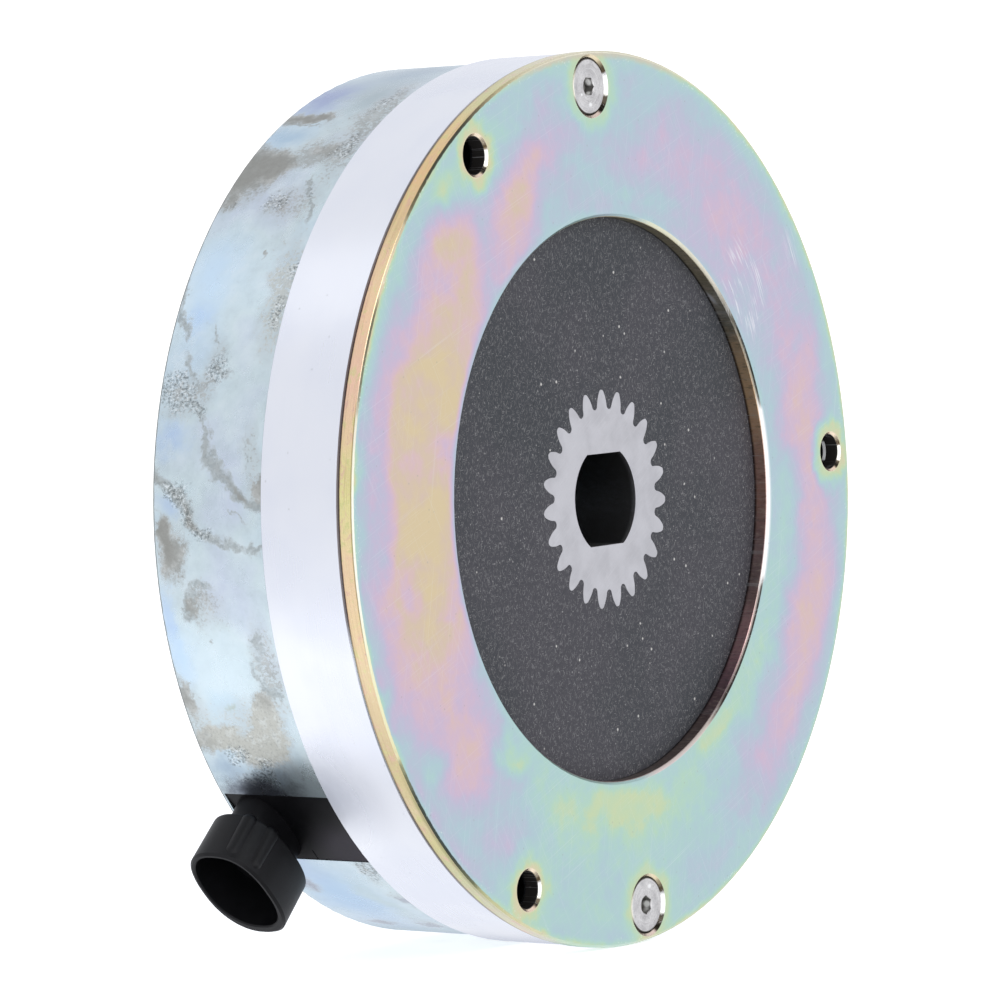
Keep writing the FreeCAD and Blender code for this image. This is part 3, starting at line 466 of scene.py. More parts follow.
    # painted shade down the holes' walls
    bore_shade = s.mul(s.mul(hole_wall, s.smooth(dh, 3.46, 3.36)), s.smooth(y, 0.36, 0.48))
    col = s.mix(bore_shade, col, lin((46, 44, 43)))
    sink = s.smooth(ds, 5.72, 5.62)
    st = s.m("FRACT", s.add(s.sub(st, s.mul(s.m("GREATER_THAN", z, 0.0), 0.024)), 1.0))
    sink_tone = s.ramp(s.add(st, fray), [
        (0.000, lin((253, 252, 248))), (0.056, lin((253, 252, 248))), (0.068, lin((128, 112, 90))), (0.092, lin((146, 130, 102))),
        (0.118, lin((236, 220, 182))), (0.220, lin((240, 224, 190))), (0.340, lin((222, 212, 176))), (0.550, lin((214, 208, 178))),
        (0.720, lin((230, 212, 194))), (0.815, lin((226, 204, 190))), (0.836, lin((70, 64, 54))), (0.930, lin((58, 53, 45))),
        (0.948, lin((244, 242, 234))), (1.000, lin((253, 252, 248)))])
    col = s.mix(sink, col, sink_tone)
    # painted shade: a dark ring in the gap round each screw head, left out on its right
    gap_amount = s.curve(st, [(0.0, 0.0), (0.055, 0.0), (0.085, 0.9), (0.42, 1.0), (0.70, 1.0), (0.83, 0.95), (0.93, 0.6), (0.946, 0.0), (1.0, 0.0)])
    col = s.mix(s.mul(s.smooth(s.add(ds, s.mul(fray, 2.0)), 5.24, 5.12), gap_amount), col, lin((58, 51, 41)))

    # handling marks: a cluster of rubbed arcs at two o'clock and a few fine lines
    rub = s.blob(None, s.join(x, z, 0.0), (43.5, 38.5), (12.0, 15.0), 1.0, 25.0)
    rub = s.blob(rub, s.join(x, z, 0.0), (60.0, 47.0), (7.0, 8.0), 0.55)
    arcs = s.noise(0.55, 3.0, 0.6, at=s.join(s.mul(s.v("LENGTH", s.join(s.sub(x, 12.0), s.sub(z, 20.0), 0.0)), 1.0), s.mul(s.m("ARCTAN2", s.sub(z, 20.0), s.sub(x, 12.0)), 2.6), 0.0))
    rubbed = s.mul(s.smooth(rub, 0.10, 0.60), s.smooth(arcs, 0.52, 0.66))
    fine = s.strokes(24.0, 0.16, 26.0, 0.71, 0.05)
    fine = s.m("MAXIMUM", fine, s.strokes(-58.0, 0.14, 20.0, 0.72, 0.05, offset=(13.0, 4.0, 0.0)))
    fine = s.m("MAXIMUM", fine, s.strokes(81.0, 0.18, 30.0, 0.73, 0.05, offset=(3.0, 44.0, 0.0)))
    marks = s.mul(s.m("MAXIMUM", rubbed, s.mul(fine, 0.34)), s.smooth(r, 79.6, 79.2))
    col = s.mix(s.mul(marks, 0.75), col, lin((232, 233, 236)))
    dust = s.smooth(s.cells(2.6), 0.085, 0.03, 0.0, 0.35)
    col = s.mix(dust, col, lin((150, 150, 146)))

    rough = s.m("MULTIPLY_ADD", s.noise(9.0, 3.0, 0.6, offset=(5.0, 5.0, 50.0)), 0.12, 0.27)
    rough = s.blend(marks, rough, 0.42)
    rough = s.blend(s.m("MAXIMUM", hole_wall, sink), rough, 0.22)
    rough = s.blend(rim, rough, 0.22)
    rough = s.blend(arris, rough, 0.50)
    peel = s.noise(1.1, 3.0, 0.55, offset=(0.0, 9.0, 0.0))
    grind = s.noise(0.35, 2.0, 0.5, at=s.join(s.mul(x, 0.12), s.mul(z, 1.0), y))
    height = s.m("MULTIPLY_ADD", peel, 0.7, s.mul(grind, 0.35))
    height = s.sub(height, s.mul(marks, 0.5))
    normal = s.bump(height, 0.02, 0.55)
    low = s.mul(rim, s.mul(s.smooth(a, 254.0, 262.0), s.smooth(a, 300.0, 285.0)))
    s.surface(Base_Color=col, Metallic=s.blend(s.m("MAXIMUM", s.m("MAXIMUM", arris, s.mul(lip, 0.9)), s.mul(bore_shade, 0.85)), 0.93, 0.12), Roughness=rough, Normal=normal, Specular_IOR_Level=0.25,
              Specular_Tint=s.mix(low, (1.0, 1.0, 1.0, 1.0), (0.40, 0.68, 0.56, 1.0)))
    return s.data


# ------------------------------------------------------------------ screws
def nickel_steel():
    s = Sheet("nickel_steel")
    x, y, z, r, a, b = s.polar()
    grain = s.noise(0.26, 4.0, 0.72)
    patch = s.noise(2.4, 3.0, 0.55, offset=(4.0, 0.0, 4.0))
    col = s.mix(s.smooth(patch, 0.35, 0.7), lin((216, 214, 212)), lin((192, 190, 189)))
    col = s.mix(s.smooth(grain, 0.53, 0.70, 0.0, 0.60), col, lin((236, 235, 232)))
    col = s.mix(s.smooth(grain, 0.47, 0.32, 0.0, 0.55), col, lin((150, 147, 146)))
    pits = s.smooth(s.cells(0.75), 0.16, 0.07, 0.0, 0.5)
    col = s.mix(pits, col, lin((120, 116, 112)))
    d, lx, lz, turn = around(s, SCREWS)
    upper = s.m("GREATER_THAN", z, 0.0)
    # the face was turned: fine rings, and a few rubbed bright spots
    rings = s.noise(0.22, 3.0, 0.65, at=s.join(d, s.mul(turn, 0.8), s.mul(upper, 9.0)))
    face = s.smooth(y, 0.46, 0.42)
    col = s.mix(s.mul(face, s.smooth(rings, 0.52, 0.68, 0.0, 0.45)), col, lin((234, 233, 232)))
    col = s.mix(s.mul(face, s.smooth(rings, 0.46, 0.34, 0.0, 0.40)), col, lin((168, 165, 165)))
    place = s.join(lx, lz, 0.0)
    spots = s.blob(None, place, (0.55, -3.2), (0.75, 0.55), 1.6)
    spots = s.blob(spots, place, (-2.2, -1.6), (0.45, 0.35), 1.4)
    spots = s.mul(s.m("MINIMUM", spots, 1.0), upper)
    spots = s.add(spots, s.mul(s.m("MINIMUM", s.blob(None, place, (1.05, 3.3), (0.8, 0.6), 1.5), 1.0), s.sub(1.0, upper)))
    col = s.mix(s.mul(spots, face), col, lin((246, 246, 244)))
    # painted shade on the hexagon's walls, with a painted highlight on the right-hand wall where it would catch the
    # light
    socket = s.mul(s.smooth(d, 1.95, 1.84), s.smooth(y, 0.50, 0.66))
    col = s.mix(s.mul(socket, 0.92), col, lin((112, 110, 106)))
    deep = s.join(y, lz, 0.0)
    socket_glint_a = s.blob(None, deep, (1.35, 0.90), (0.95, 0.90), 1.7)
    socket_glint_a = s.blob(socket_glint_a, deep, (1.30, -1.15), (0.75, 0.55), 1.6)
    socket_glint_b = s.blob(None, deep, (1.35, 0.05), (1.05, 0.80), 2.0)
    socket_glint_b = s.blob(socket_glint_b, deep, (1.40, -0.85), (0.95, 0.90), 0.7)
    socket_glint = s.mul(s.mul(s.m("MINIMUM", s.blend(upper, socket_glint_b, socket_glint_a), 1.0), socket), s.smooth(lx, -0.2, 0.4))
    col = s.mix(socket_glint, col, lin((250, 250, 246)))
    # the broken edge of the head: painted shade in the gap round it, and a painted highlight on its outer left
    lip = s.mul(s.smooth(s.add(d, s.m("MULTIPLY_ADD", s.noise(0.8, 3.0, 0.6), 0.10, s.curve(turn, [(0.0, -0.05), (0.39, -0.05), (0.45, 0.10), (0.55, 0.10), (0.60, -0.05), (1.0, -0.05)], -1.0, 1.0))), 4.70, 4.80), s.smooth(y, 1.3, 1.0))
    lip = s.mul(lip, s.curve(turn, [(0.0, 0.0), (0.11, 0.0), (0.17, 0.92), (0.40, 0.92), (0.50, 0.85), (0.60, 0.92), (0.80, 0.95), (0.87, 0.0), (1.0, 0.0)]))
    lip_tone = s.ramp(turn, [(0.0, lin((50, 44, 36))), (0.38, lin((50, 44, 36))), (0.44, lin((206, 202, 184))), (0.50, lin((246, 243, 230))),
                             (0.56, lin((240, 236, 220))), (0.61, lin((54, 48, 38))), (1.0, lin((46, 40, 34)))])
    col = s.mix(lip, col, lip_tone)
    shank = s.smooth(y, 3.0, 3.4)
    thread = s.m("PINGPONG", s.add(y, s.mul(s.m("ARCTAN2", s.sub(x, 0.0), z), 0.0)), 0.4)
    col = s.mix(s.mul(shank, s.smooth(thread, 0.1, 0.3, 0.6, 0.0)), col, lin((80, 78, 74)))
    rough = s.blend(socket, s.m("MULTIPLY_ADD", grain, 0.22, 0.26), 0.30)
    normal = s.bump(s.mul(s.add(s.add(grain, s.mul(rings, 0.5)), s.mul(patch, 0.3)), s.blend(socket, 1.0, 0.3)), 0.02, 0.8)
    s.surface(Base_Color=col, Metallic=s.mul(s.mul(s.blend(lip, 1.0, 0.3), s.blend(socket, 1.0, 0.45)), s.sub(1.0, socket_glint)), Roughness=s.m("MAXIMUM", rough, s.mul(lip, 0.5)), Normal=normal)
    return s.data


# ------------------------------------------------------------------ spacer ring
def machined_aluminium():
    """Aluminium, fine turned: faint lines round the rim, a trace of oil at the joint with the body, and painted shade
    at the joint with the plate.
    """
    s = Sheet("machined_aluminium")
    x, y, z, r, a, b = s.polar()
    lines = s.noise(0.16, 4.0, 0.65, at=s.join(s.mul(a, 0.01), y, s.mul(r, 0.7)))
    broad = s.noise(1.5, 3.0, 0.6, at=s.join(s.mul(a, 0.03), y, 0.0))
    haze = s.noise(22.0, 3.0, 0.55, offset=(8.0, 0.0, 0.0))
    col = s.mix(s.smooth(haze, 0.35, 0.7), lin((243, 245, 250)), lin((236, 239, 247)))
    col = s.mix(s.smooth(lines, 0.55, 0.8, 0.0, 0.25), col, lin((214, 219, 230)))
    spots = s.smooth(s.cells(4.3), 0.07, 0.03, 0.0, 0.25)
    col = s.mix(spots, col, lin((190, 192, 198)))
    # a soft grey painted shade beside the connector, standing for its dark reflection in the ring
    k = 79.8 * math.pi / 180.0
    connector_reflection_shade = s.blob(None, s.join(s.mul(a, k), y, 0.0), (218.2 * k, 19.5), (10.5 * k, 16.0), 0.80, 8.0)
    shade = s.m("MINIMUM", s.blob(None, s.join(s.mul(a, k), y, 0.0), (219.5 * k, 21.0), (14.0 * k, 13.0), 1.35), 1.0)
    col = s.mix(connector_reflection_shade, col, lin((172, 176, 188)))
    joint = s.mul(s.smooth(y, 19.30, 19.45), s.smooth(r, 79.3, 79.5))
    col = s.mix(s.mul(joint, 0.72), col, lin((112, 96, 92)))
    # painted shade along the front chamfer, in the joint with the plate
    angle = s.m("DIVIDE", a, 360.0)
    amount = s.curve(angle, [(0.0, 0.5), (0.26, 0.2), (0.32, 0.35), (0.35, 0.55), (0.43, 0.95), (0.535, 0.85), (0.555, 0.15), (0.59, 0.15),
                             (0.62, 0.7), (0.67, 0.5), (0.70, 0.3), (0.72, 0.05), (0.76, 0.0), (1.0, 0.5)])
    front = s.mul(s.smooth(s.add(y, s.m("MULTIPLY_ADD", broad, 0.10, -0.05)), 3.50, 3.38), s.smooth(r, 79.3, 79.5))
    front = s.mul(front, amount)
    col = s.mix(front, col, lin((84, 66, 62)))
    # painted shade inside the holes, and a painted highlight on the wall of the hole at three o'clock
    dh, hx, hz, ht = around(s, HOLES)
    glint = s.mul(s.mul(s.smooth(dh, 3.7, 3.6), s.smooth(y, 3.75, 3.60)), s.mul(s.m("LESS_THAN", s.near(6.2), 5.0), s.mul(s.smooth(hz, -1.9, -1.4), s.smooth(hz, 2.2, 1.7))))
    inside = s.mul(s.smooth(dh, 3.6, 3.4), s.smooth(y, 3.3, 3.5))
    col = s.mix(s.mul(inside, 0.85), col, lin((70, 68, 70)))
    col = s.mix(glint, col, lin((252, 252, 252)))
    rough = s.m("MULTIPLY_ADD", broad, 0.08, 0.20)
    rough = s.add(rough, s.smooth(haze, 0.4, 0.7, 0.0, 0.05))
    normal = s.bump(s.m("MULTIPLY_ADD", broad, 0.4, lines), 0.004, 0.45)
    soft = s.m("MAXIMUM", s.m("MAXIMUM", s.mul(front, 0.7), s.mul(shade, 0.72)), glint)
    s.surface(Base_Color=col, Metallic=s.sub(1.0, soft), Roughness=rough, Normal=normal, Specular_IOR_Level=s.blend(soft, 0.5, 0.15),
              Specular_Tint=s.mix(s.mul(s.smooth(a, 250.0, 260.0), s.smooth(a, 300.0, 285.0)), (1.0, 1.0, 1.0, 1.0), (0.78, 0.80, 0.84, 1.0)))
    return s.data


# ------------------------------------------------------------------ magnet body
def clear_zinc():
    """Clear passivated zinc: pale icy blue, with taupe grey blotches that have grainy, watery borders."""
    s = Sheet("clear_zinc")
    x, y, z, r, a, b = s.polar()
    w1 = s.v("SCALE", s.v("SUBTRACT", s.noise(8.0, 3.0, 0.6, colour=True), (0.5, 0.5, 0.5)), scale=7.0)
    w2 = s.v("SCALE", s.v("SUBTRACT", s.noise(2.2, 3.0, 0.6, colour=True), (0.5, 0.5, 0.5)), scale=3.0)
    w3 = s.v("SCALE", s.v("SUBTRACT", s.noise(0.7, 2.0, 0.6, colour=True), (0.5, 0.5, 0.5)), scale=1.0)
    pw = s.v("ADD", s.mm(), s.v("ADD", w1, s.v("ADD", w2, w3)))
    xw, yw, zw, rw, aw, bw = s.polar(pw)
    k = 79.0 * math.pi / 180.0
    q = s.join(s.mul(aw, k), yw, 0.0)
    run = s.v("MULTIPLY", pw, (1.0, 0.62, 1.0))
    cloudy = s.m("MULTIPLY_ADD", s.noise(13.0, 5.0, 0.62, at=run), 1.6, -0.8)
    rimside = s.smooth(r, 70.0, 77.0)

    def patch(acc, a0, y0, da, dy, amount, turn=0.0):
        return s.blob(acc, q, (a0 * k, y0), (da * k, dy), amount, turn)

    def vein(acc, points, width, amount):
        """A run between points given by angle and by distance along the axis."""
        for (a0, y0), (a1, y1) in zip(points, points[1:]):
            dx, dy = (a1 - a0) * k, y1 - y0
            acc = s.blob(acc, q, ((a0 + a1) / 2 * k, (y0 + y1) / 2), (math.hypot(dx, dy) * 0.80 + width * 0.5, width), amount, math.degrees(math.atan2(dy, dx)))
        return acc

    # dense blotches
    g = patch(None, 120.7, 40.0, 2.3, 9.0, 1.30, 3.0)
    g = vein(g, [(121.0, 38.0), (121.4, 32.5)], 2.4, 0.85)
    u = vein(None, [(122.2, 40.0), (123.8, 33.0)], 0.7, 0.70)
    g = patch(g, 132.8, 43.0, 7.6, 12.5, 1.60, 8.0)
    g = patch(g, 131.0, 35.5, 4.4, 7.0, 0.95)
    g = patch(g, 138.2, 41.0, 2.2, 3.4, 0.60, -25.0)
    g = patch(g, 139.5, 30.2, 2.4, 3.6, 0.75)
    u = vein(u, [(134.6, 26.4), (138.2, 24.0), (142.4, 21.8)], 1.0, 0.85)
    g = patch(g, 129.0, 26.8, 2.9, 6.6, 0.85)
    u = vein(u, [(166.4, 35.2), (169.2, 33.1), (173.0, 32.4)], 1.05, 0.80)
    u = vein(u, [(172.6, 32.8), (175.2, 30.2), (177.4, 27.8), (179.0, 25.2)], 2.1, 0.90)
    u = vein(u, [(178.6, 26.0), (179.4, 23.0), (179.2, 18.5)], 2.0, 0.90)
    g = patch(g, 177.0, 21.2, 2.6, 3.2, 1.10)
    u = vein(u, [(174.6, 45.0), (175.8, 41.2), (177.4, 37.8), (179.8, 35.6), (182.0, 34.4)], 2.4, 1.0)
    u = vein(u, [(181.6, 35.0), (183.4, 31.4), (184.4, 27.0)], 1.7, 0.88)
    u = vein(u, [(184.8, 27.0), (185.3, 24.0), (185.7, 18.5)], 1.1, 0.75)
    u = vein(u, [(181.4, 42.6), (184.4, 40.0)], 1.8, 0.85)
    g = patch(g, 186.6, 39.0, 4.8, 5.0, 1.25)
    g = patch(g, 183.4, 41.2, 3.6, 3.2, 0.90)
    u = vein(u, [(190.3, 36.0), (190.2, 30.6)], 1.1, 0.70)
    u = vein(u, [(190.6, 36.2), (195.4, 37.0)], 1.4, 0.85)
    g = patch(g, 192.9, 34.0, 3.4, 4.8, 0.78)
    g = vein(g, [(201.4, 42.6), (207.0, 41.4)], 2.4, 1.05)
    g = patch(g, 210.2, 38.4, 3.3, 8.4, 1.50)
    g = patch(g, 209.4, 26.6, 6.8, 6.4, 1.55)
    g = patch(g, 212.6, 30.0, 3.8, 7.0, 1.20)
    g = patch(g, 204.6, 25.0, 2.6, 4.2, 0.95)
    u = vein(u, [(195.0, 23.0), (199.4, 23.8)], 1.5, 0.75)
    u = vein(u, [(199.6, 26.6), (202.4, 24.2), (203.4, 21.4)], 1.6, 0.80)
    g = patch(g, 147.9, 28.4, 1.0, 1.0, 0.95)
    g = patch(g, 197.0, 33.4, 0.7, 0.9, 0.95)
    u = vein(u, [(160.4, 39.4), (164.2, 36.2)], 1.1, 0.80)
    u = vein(u, [(156.4, 34.2), (161.0, 32.6), (163.0, 31.4)], 0.8, 0.66)
    u = vein(u, [(162.4, 33.6), (163.6, 28.4)], 1.3, 0.70)
    u = vein(u, [(169.8, 24.0), (176.6, 23.5)], 0.6, 0.55)
    u = vein(u, [(181.0, 27.2), (182.2, 23.4)], 0.45, 0.62)
    u = vein(u, [(149.5, 43.6), (155.4, 42.6), (158.4, 40.0)], 1.3, 0.85)
    # thinner ones, which show as grain and as a grey bloom
    h = patch(None, 130.0, 30.0, 5.0, 11.0, 0.75)
    h = patch(h, 119.0, 23.0, 14.0, 6.4, 1.10)
    h = patch(h, 130.8, 29.0, 3.6, 7.0, 0.70)
    h = patch(h, 121.0, 34.0, 4.0, 5.0, 0.70)
    h = patch(h, 125.0, 29.0, 9.0, 7.0, 0.40)
    h = patch(h, 130.0, 22.6, 13.0, 5.6, 0.80)
    h = patch(h, 139.0, 28.5, 5.0, 9.0, 1.00)
    h = patch(h, 154.4, 21.6, 12.0, 5.6, 1.25)
    h = patch(h, 146.0, 24.0, 10.0, 8.0, 0.40)
    h = patch(h, 137.6, 38.6, 2.6, 6.0, 0.75)
    h = patch(h, 166.2, 38.0, 5.4, 8.5, 0.95)
    h = patch(h, 162.8, 32.6, 8.0, 4.6, 0.85)
    h = patch(h, 173.0, 22.6, 7.6, 4.4, 0.70)
    h = patch(h, 181.0, 35.0, 5.0, 7.0, 0.45)
    h = patch(h, 186.0, 40.0, 8.0, 6.0, 0.62)
    h = patch(h, 192.4, 33.5, 5.0, 8.5, 0.75)
    h = patch(h, 200.0, 22.8, 10.0, 5.6, 1.15)
    h = patch(h, 209.6, 29.0, 9.0, 13.0, 0.90)
    h = patch(h, 207.0, 41.0, 9.0, 5.6, 0.80)
    h = patch(h, 234.0, 22.0, 5.5, 5.4, 0.85)
    h = patch(h, 238.8, 39.6, 4.4, 5.4, 0.70)
    h = patch(h, 252.6, 35.4, 3.2, 6.6, 0.70)
    h = patch(h, 251.6, 25.6, 5.0, 4.6, 0.70)
    h = patch(h, 241.6, 21.0, 4.0, 3.4, 0.75)
    # clear between them
    clear = patch(None, 104.0, 34.0, 13.0, 17.0, 0.55)
    clear = patch(clear, 148.5, 36.0, 10.0, 13.0, 0.60)
    clear = patch(clear, 125.6, 38.5, 2.8, 8.5, 0.85)
    clear = patch(clear, 172.4, 38.5, 3.6, 7.0, 0.60)
    clear = patch(clear, 198.5, 37.0, 4.6, 13.0, 0.55)
    clear = patch(clear, 205.4, 34.0, 3.1, 6.8, 1.40)
    clear = patch(clear, 214.6, 38.4, 2.6, 6.4, 1.10)
    clear = patch(clear, 244.0, 32.0, 13.0, 14.0, 0.35)
    clear = patch(clear, 193.2, 33.4, 1.9, 3.0, 0.55)
    clear = patch(clear, 187.4, 38.6, 2.4, 2.2, 0.50)
    clear = patch(clear, 139.8, 30.6, 1.3, 1.8, 0.40)
    seen = s.mul(rimside, s.mul(s.smooth(a, 92.0, 106.0), s.smooth(a, 270.0, 256.0)))
    f = s.blend(seen, s.sub(cloudy, 0.10), s.add(s.m("MULTIPLY_ADD", cloudy, 0.42, -0.30), s.sub(s.add(g, u), clear)))
    grain = s.sub(s.noise(0.50, 4.0, 0.78, offset=(0.0, 4.0, 11.0)), 0.5)
    coarse = s.sub(s.noise(1.9, 4.0, 0.68, offset=(5.0, 14.0, 1.0)), 0.5)
    other = s.smooth(s.noise(11.0, 2.0, 0.5, offset=(30.0, 0.0, 6.0)), 0.42, 0.68, 0.0, 0.75)
    haze = s.blend(seen, other, h)
    fg = s.add(f, s.m("MULTIPLY_ADD", grain, 1.30, s.mul(coarse, 0.75)))
    dense = s.smooth(fg, -0.06, 0.46)
    thread = s.mul(s.mul(s.smooth(s.sub(u, s.mul(g, 0.8)), 0.02, 0.36), seen), s.smooth(g, 0.6, 0.2))
    # flakes of grain: small dark marks, drawn out a little along the axis
    flakes = s.sub(s.noise(0.62, 3.0, 0.74, at=s.v("MULTIPLY", s.v("ADD", s.mm(), w3), (1.0, 0.72, 1.0)), offset=(3.0, 1.0, 0.0)), 0.5)
    fine_haze = s.smooth(s.add(s.mul(flakes, 3.2), s.add(s.mul(coarse, 0.9), s.m("MULTIPLY_ADD", haze, 0.85, -0.62))), 0.0, 0.34)
    speck = s.mul(fine_haze, s.smooth(haze, 0.02, 0.25))
    grey = s.m("MAXIMUM", dense, s.mul(speck, 0.70))
    veil = s.m("MAXIMUM", s.smooth(f, -0.26, 0.10, 0.0, 0.52), s.smooth(haze, 0.1, 0.8, 0.0, 0.50))
    # crackled places, where the bloom has broken up into dark and bright grains
    crackle = patch(None, 166.2, 38.6, 3.8, 6.4, 1.15)
    crackle = patch(crackle, 164.6, 40.6, 3.4, 4.0, 0.70)
    crackle = patch(crackle, 162.6, 31.8, 3.4, 4.8, 0.95)
    crackle = patch(crackle, 180.4, 35.8, 2.6, 3.2, 1.05)
    crackle = patch(crackle, 138.6, 31.0, 2.8, 5.2, 0.85)
    crackle = patch(crackle, 155.6, 21.6, 5.4, 3.0, 0.95)
    crackle = patch(crackle, 149.4, 20.8, 3.4, 2.2, 0.80)
    crackle = patch(crackle, 168.0, 33.6, 2.6, 2.6, 0.75)
    crackle = patch(crackle, 177.6, 38.2, 2.6, 5.0, 1.15)
    crackle = patch(crackle, 183.0, 32.6, 2.0, 4.8, 0.90)
    crackle = patch(crackle, 213.0, 35.2, 2.3, 4.8, 1.25)
    crackle = patch(crackle, 216.8, 33.0, 2.4, 7.0, 1.10)
    crackle = patch(crackle, 214.6, 29.6, 2.6, 4.6, 0.80)
    crackle = patch(crackle, 210.0, 31.2, 2.4, 3.2, 0.55)
    crackle = patch(crackle, 128.4, 23.6, 5.6, 3.6, 1.00)
    crackle = patch(crackle, 116.0, 24.0, 7.0, 3.4, 0.80)
    crackle = patch(crackle, 137.8, 39.6, 2.0, 3.4, 0.55)
    crackle = patch(crackle, 137.0, 24.4, 3.6, 2.2, 0.60)
    crackle = patch(crackle, 234.0, 22.2, 4.4, 4.0, 1.10)
    crackle = s.mul(s.smooth(s.add(crackle, s.mul(coarse, 0.9)), 0.22, 0.75), seen)
    chips = s.noise(0.46, 3.0, 0.80, at=s.v("MULTIPLY", s.mm(), (1.0, 0.8, 1.0)), offset=(7.0, 2.0, 5.0))

    tone = s.noise(22.0, 3.0, 0.5, offset=(12.0, 3.0, 9.0))
    base = s.ramp(tone, [(0.30, lin((202, 221, 234))), (0.43, lin((207, 224, 231))), (0.55, lin((210, 225, 228))),
                         (0.68, lin((206, 216, 229)))])
    cloud = s.noise(4.2, 5.0, 0.66, offset=(1.0, 2.0, 3.0))
    base = s.mix(s.smooth(cloud, 0.46, 0.72, 0.0, 0.50), base, lin((224, 235, 239)))
    base = s.mix(s.smooth(cloud, 0.52, 0.30, 0.0, 0.42), base, lin((190, 204, 209)))
    base = s.mix(s.mul(patch(None, 114.0, 39.0, 9.5, 9.0, 1.1), rimside), base, lin((160, 174, 210)))
    base = s.mix(s.mul(patch(None, 104.0, 30.0, 16.0, 18.0, 1.0), rimside), base, lin((166, 186, 200)))
    base = s.mix(s.mul(patch(None, 115.0, 29.0, 9.0, 9.0, 0.9), rimside), base, lin((172, 188, 194)))
    base = s.mix(s.mul(patch(None, 125.6, 38.5, 3.4, 8.5, 0.8), rimside), base, lin((176, 202, 222)))
    base = s.mix(s.mul(patch(None, 242.0, 34.0, 18.0, 14.0, 0.85), rimside), base, lin((172, 202, 230)))
    base = s.mix(s.mul(patch(None, 243.0, 27.0, 12.0, 3.6, 0.6, -8.0), rimside), base, lin((192, 210, 210)))
    base = s.mix(s.mul(patch(None, 150.0, 38.0, 11.0, 8.0, 0.9), rimside), base, lin((204, 226, 243)))
    base = s.mix(s.mul(patch(None, 156.2, 38.4, 3.2, 4.6, 0.8), rimside), base, lin((190, 214, 240)))
    base = s.mix(s.mul(patch(None, 171.6, 39.5, 3.4, 5.6, 0.8), rimside), base, lin((184, 206, 234)))
    base = s.mix(s.mul(patch(None, 179.6, 40.0, 2.4, 4.2, 0.8), rimside), base, lin((188, 208, 232)))
    base = s.mix(s.mul(patch(None, 194.0, 41.5, 6.0, 3.4, 0.8), rimside), base, lin((188, 212, 240)))
    base = s.mix(s.mul(patch(None, 199.0, 40.0, 5.0, 5.0, 0.8), rimside), base, lin((196, 220, 243)))
    base = s.mix(s.mul(patch(None, 202.0, 33.0, 9.0, 9.0, 0.8), rimside), base, lin((216, 232, 238)))
    base = s.mix(s.mul(patch(None, 205.6, 34.5, 3.6, 6.0, 0.7), rimside), base, lin((202, 224, 236)))
    base = s.mix(s.mul(patch(None, 206.4, 33.0, 1.1, 1.3, 1.0), rimside), base, lin((184, 200, 190)))
    base = s.mix(s.mul(patch(None, 214.8, 38.5, 3.0, 5.6, 0.9), rimside), base, lin((172, 192, 208)))
    taupe = s.mix(s.smooth(s.noise(3.0, 4.0, 0.68, offset=(2.0, 8.0, 1.0)), 0.35, 0.68), lin((156, 157, 152)), lin((190, 191, 187)))
    pale = s.mul(s.m("MAXIMUM", patch(None, 209.6, 30.0, 9.0, 18.0, 1.6), patch(None, 154.0, 22.0, 14.0, 7.0, 1.5)), rimside)
    taupe = s.mix(s.m("MINIMUM", pale, 0.85), taupe, lin((200, 200, 190)))
    taupe = s.mix(s.mul(s.m("MINIMUM", pale, 1.0), s.smooth(coarse, 0.0, 0.14, 0.0, 0.55)), taupe, lin((222, 226, 222)))
    taupe = s.mix(s.smooth(grain, -0.02, 0.20, 0.0, 0.50), taupe, lin((134, 136, 130)))
    taupe = s.mix(s.smooth(flakes, 0.06, 0.22, 0.0, 0.40), taupe, lin((214, 214, 210)))
    col = s.mix(veil, base, lin((190, 198, 200)))
    taupe = s.mix(s.mul(thread, 0.8), taupe, s.mix(s.smooth(flakes, -0.04, 0.10), lin((176, 184, 184)), lin((146, 156, 158))))
    col = s.mix(s.mul(grey, s.blend(thread, 0.90, 0.76)), col, taupe)
    # the core of the largest blotch is even, and darker
    core = s.mul(s.mul(s.smooth(f, 0.45, 1.0), 0.75), s.sub(1.0, s.m("MINIMUM", pale, 1.0)))
    col = s.mix(s.mul(core, grey), col, lin((150, 150, 144)))
    col = s.mix(s.mul(crackle, s.smooth(chips, 0.50, 0.60, 0.0, 0.72)), col, lin((100, 108, 110)))
    col = s.mix(s.mul(crackle, s.smooth(chips, 0.46, 0.37, 0.0, 0.70)), col, lin((238, 244, 246)))
    # painted shade above the connector, standing for its dark reflection in the body, broken up with grain
    connector_shade_bloom = patch(None, 219.6, 33.5, 5.6, 13.0, 1.60)
    connector_shade_bloom = patch(connector_shade_bloom, 216.6, 25.4, 3.0, 3.0, 0.40)
    connector_shade_bloom = s.mul(s.mul(s.smooth(s.add(connector_shade_bloom, s.m("MULTIPLY_ADD", grain, 0.8, s.mul(coarse, 0.5))), 0.0, 1.35), rimside), s.smooth(a, 222.0, 220.0))
    col = s.mix(s.mul(connector_shade_bloom, 0.85), col, lin((82, 82, 96)))
    # thin lilac grey smears at the lower right
    smear = patch(None, 238.6, 40.0, 3.8, 4.4, 0.70, -20.0)
    smear = patch(smear, 252.9, 36.5, 1.8, 5.6, 0.95)
    smear = patch(smear, 252.6, 26.4, 3.2, 3.2, 0.95, 25.0)
    smear = patch(smear, 242.4, 21.6, 2.6, 2.2, 0.80)
    smear = s.mul(s.smooth(s.add(smear, s.m("MULTIPLY_ADD", grain, 0.7, s.mul(coarse, 0.8))), 0.10, 0.75), rimside)
    col = s.mix(s.mul(smear, 0.62), col, lin((158, 162, 176)))
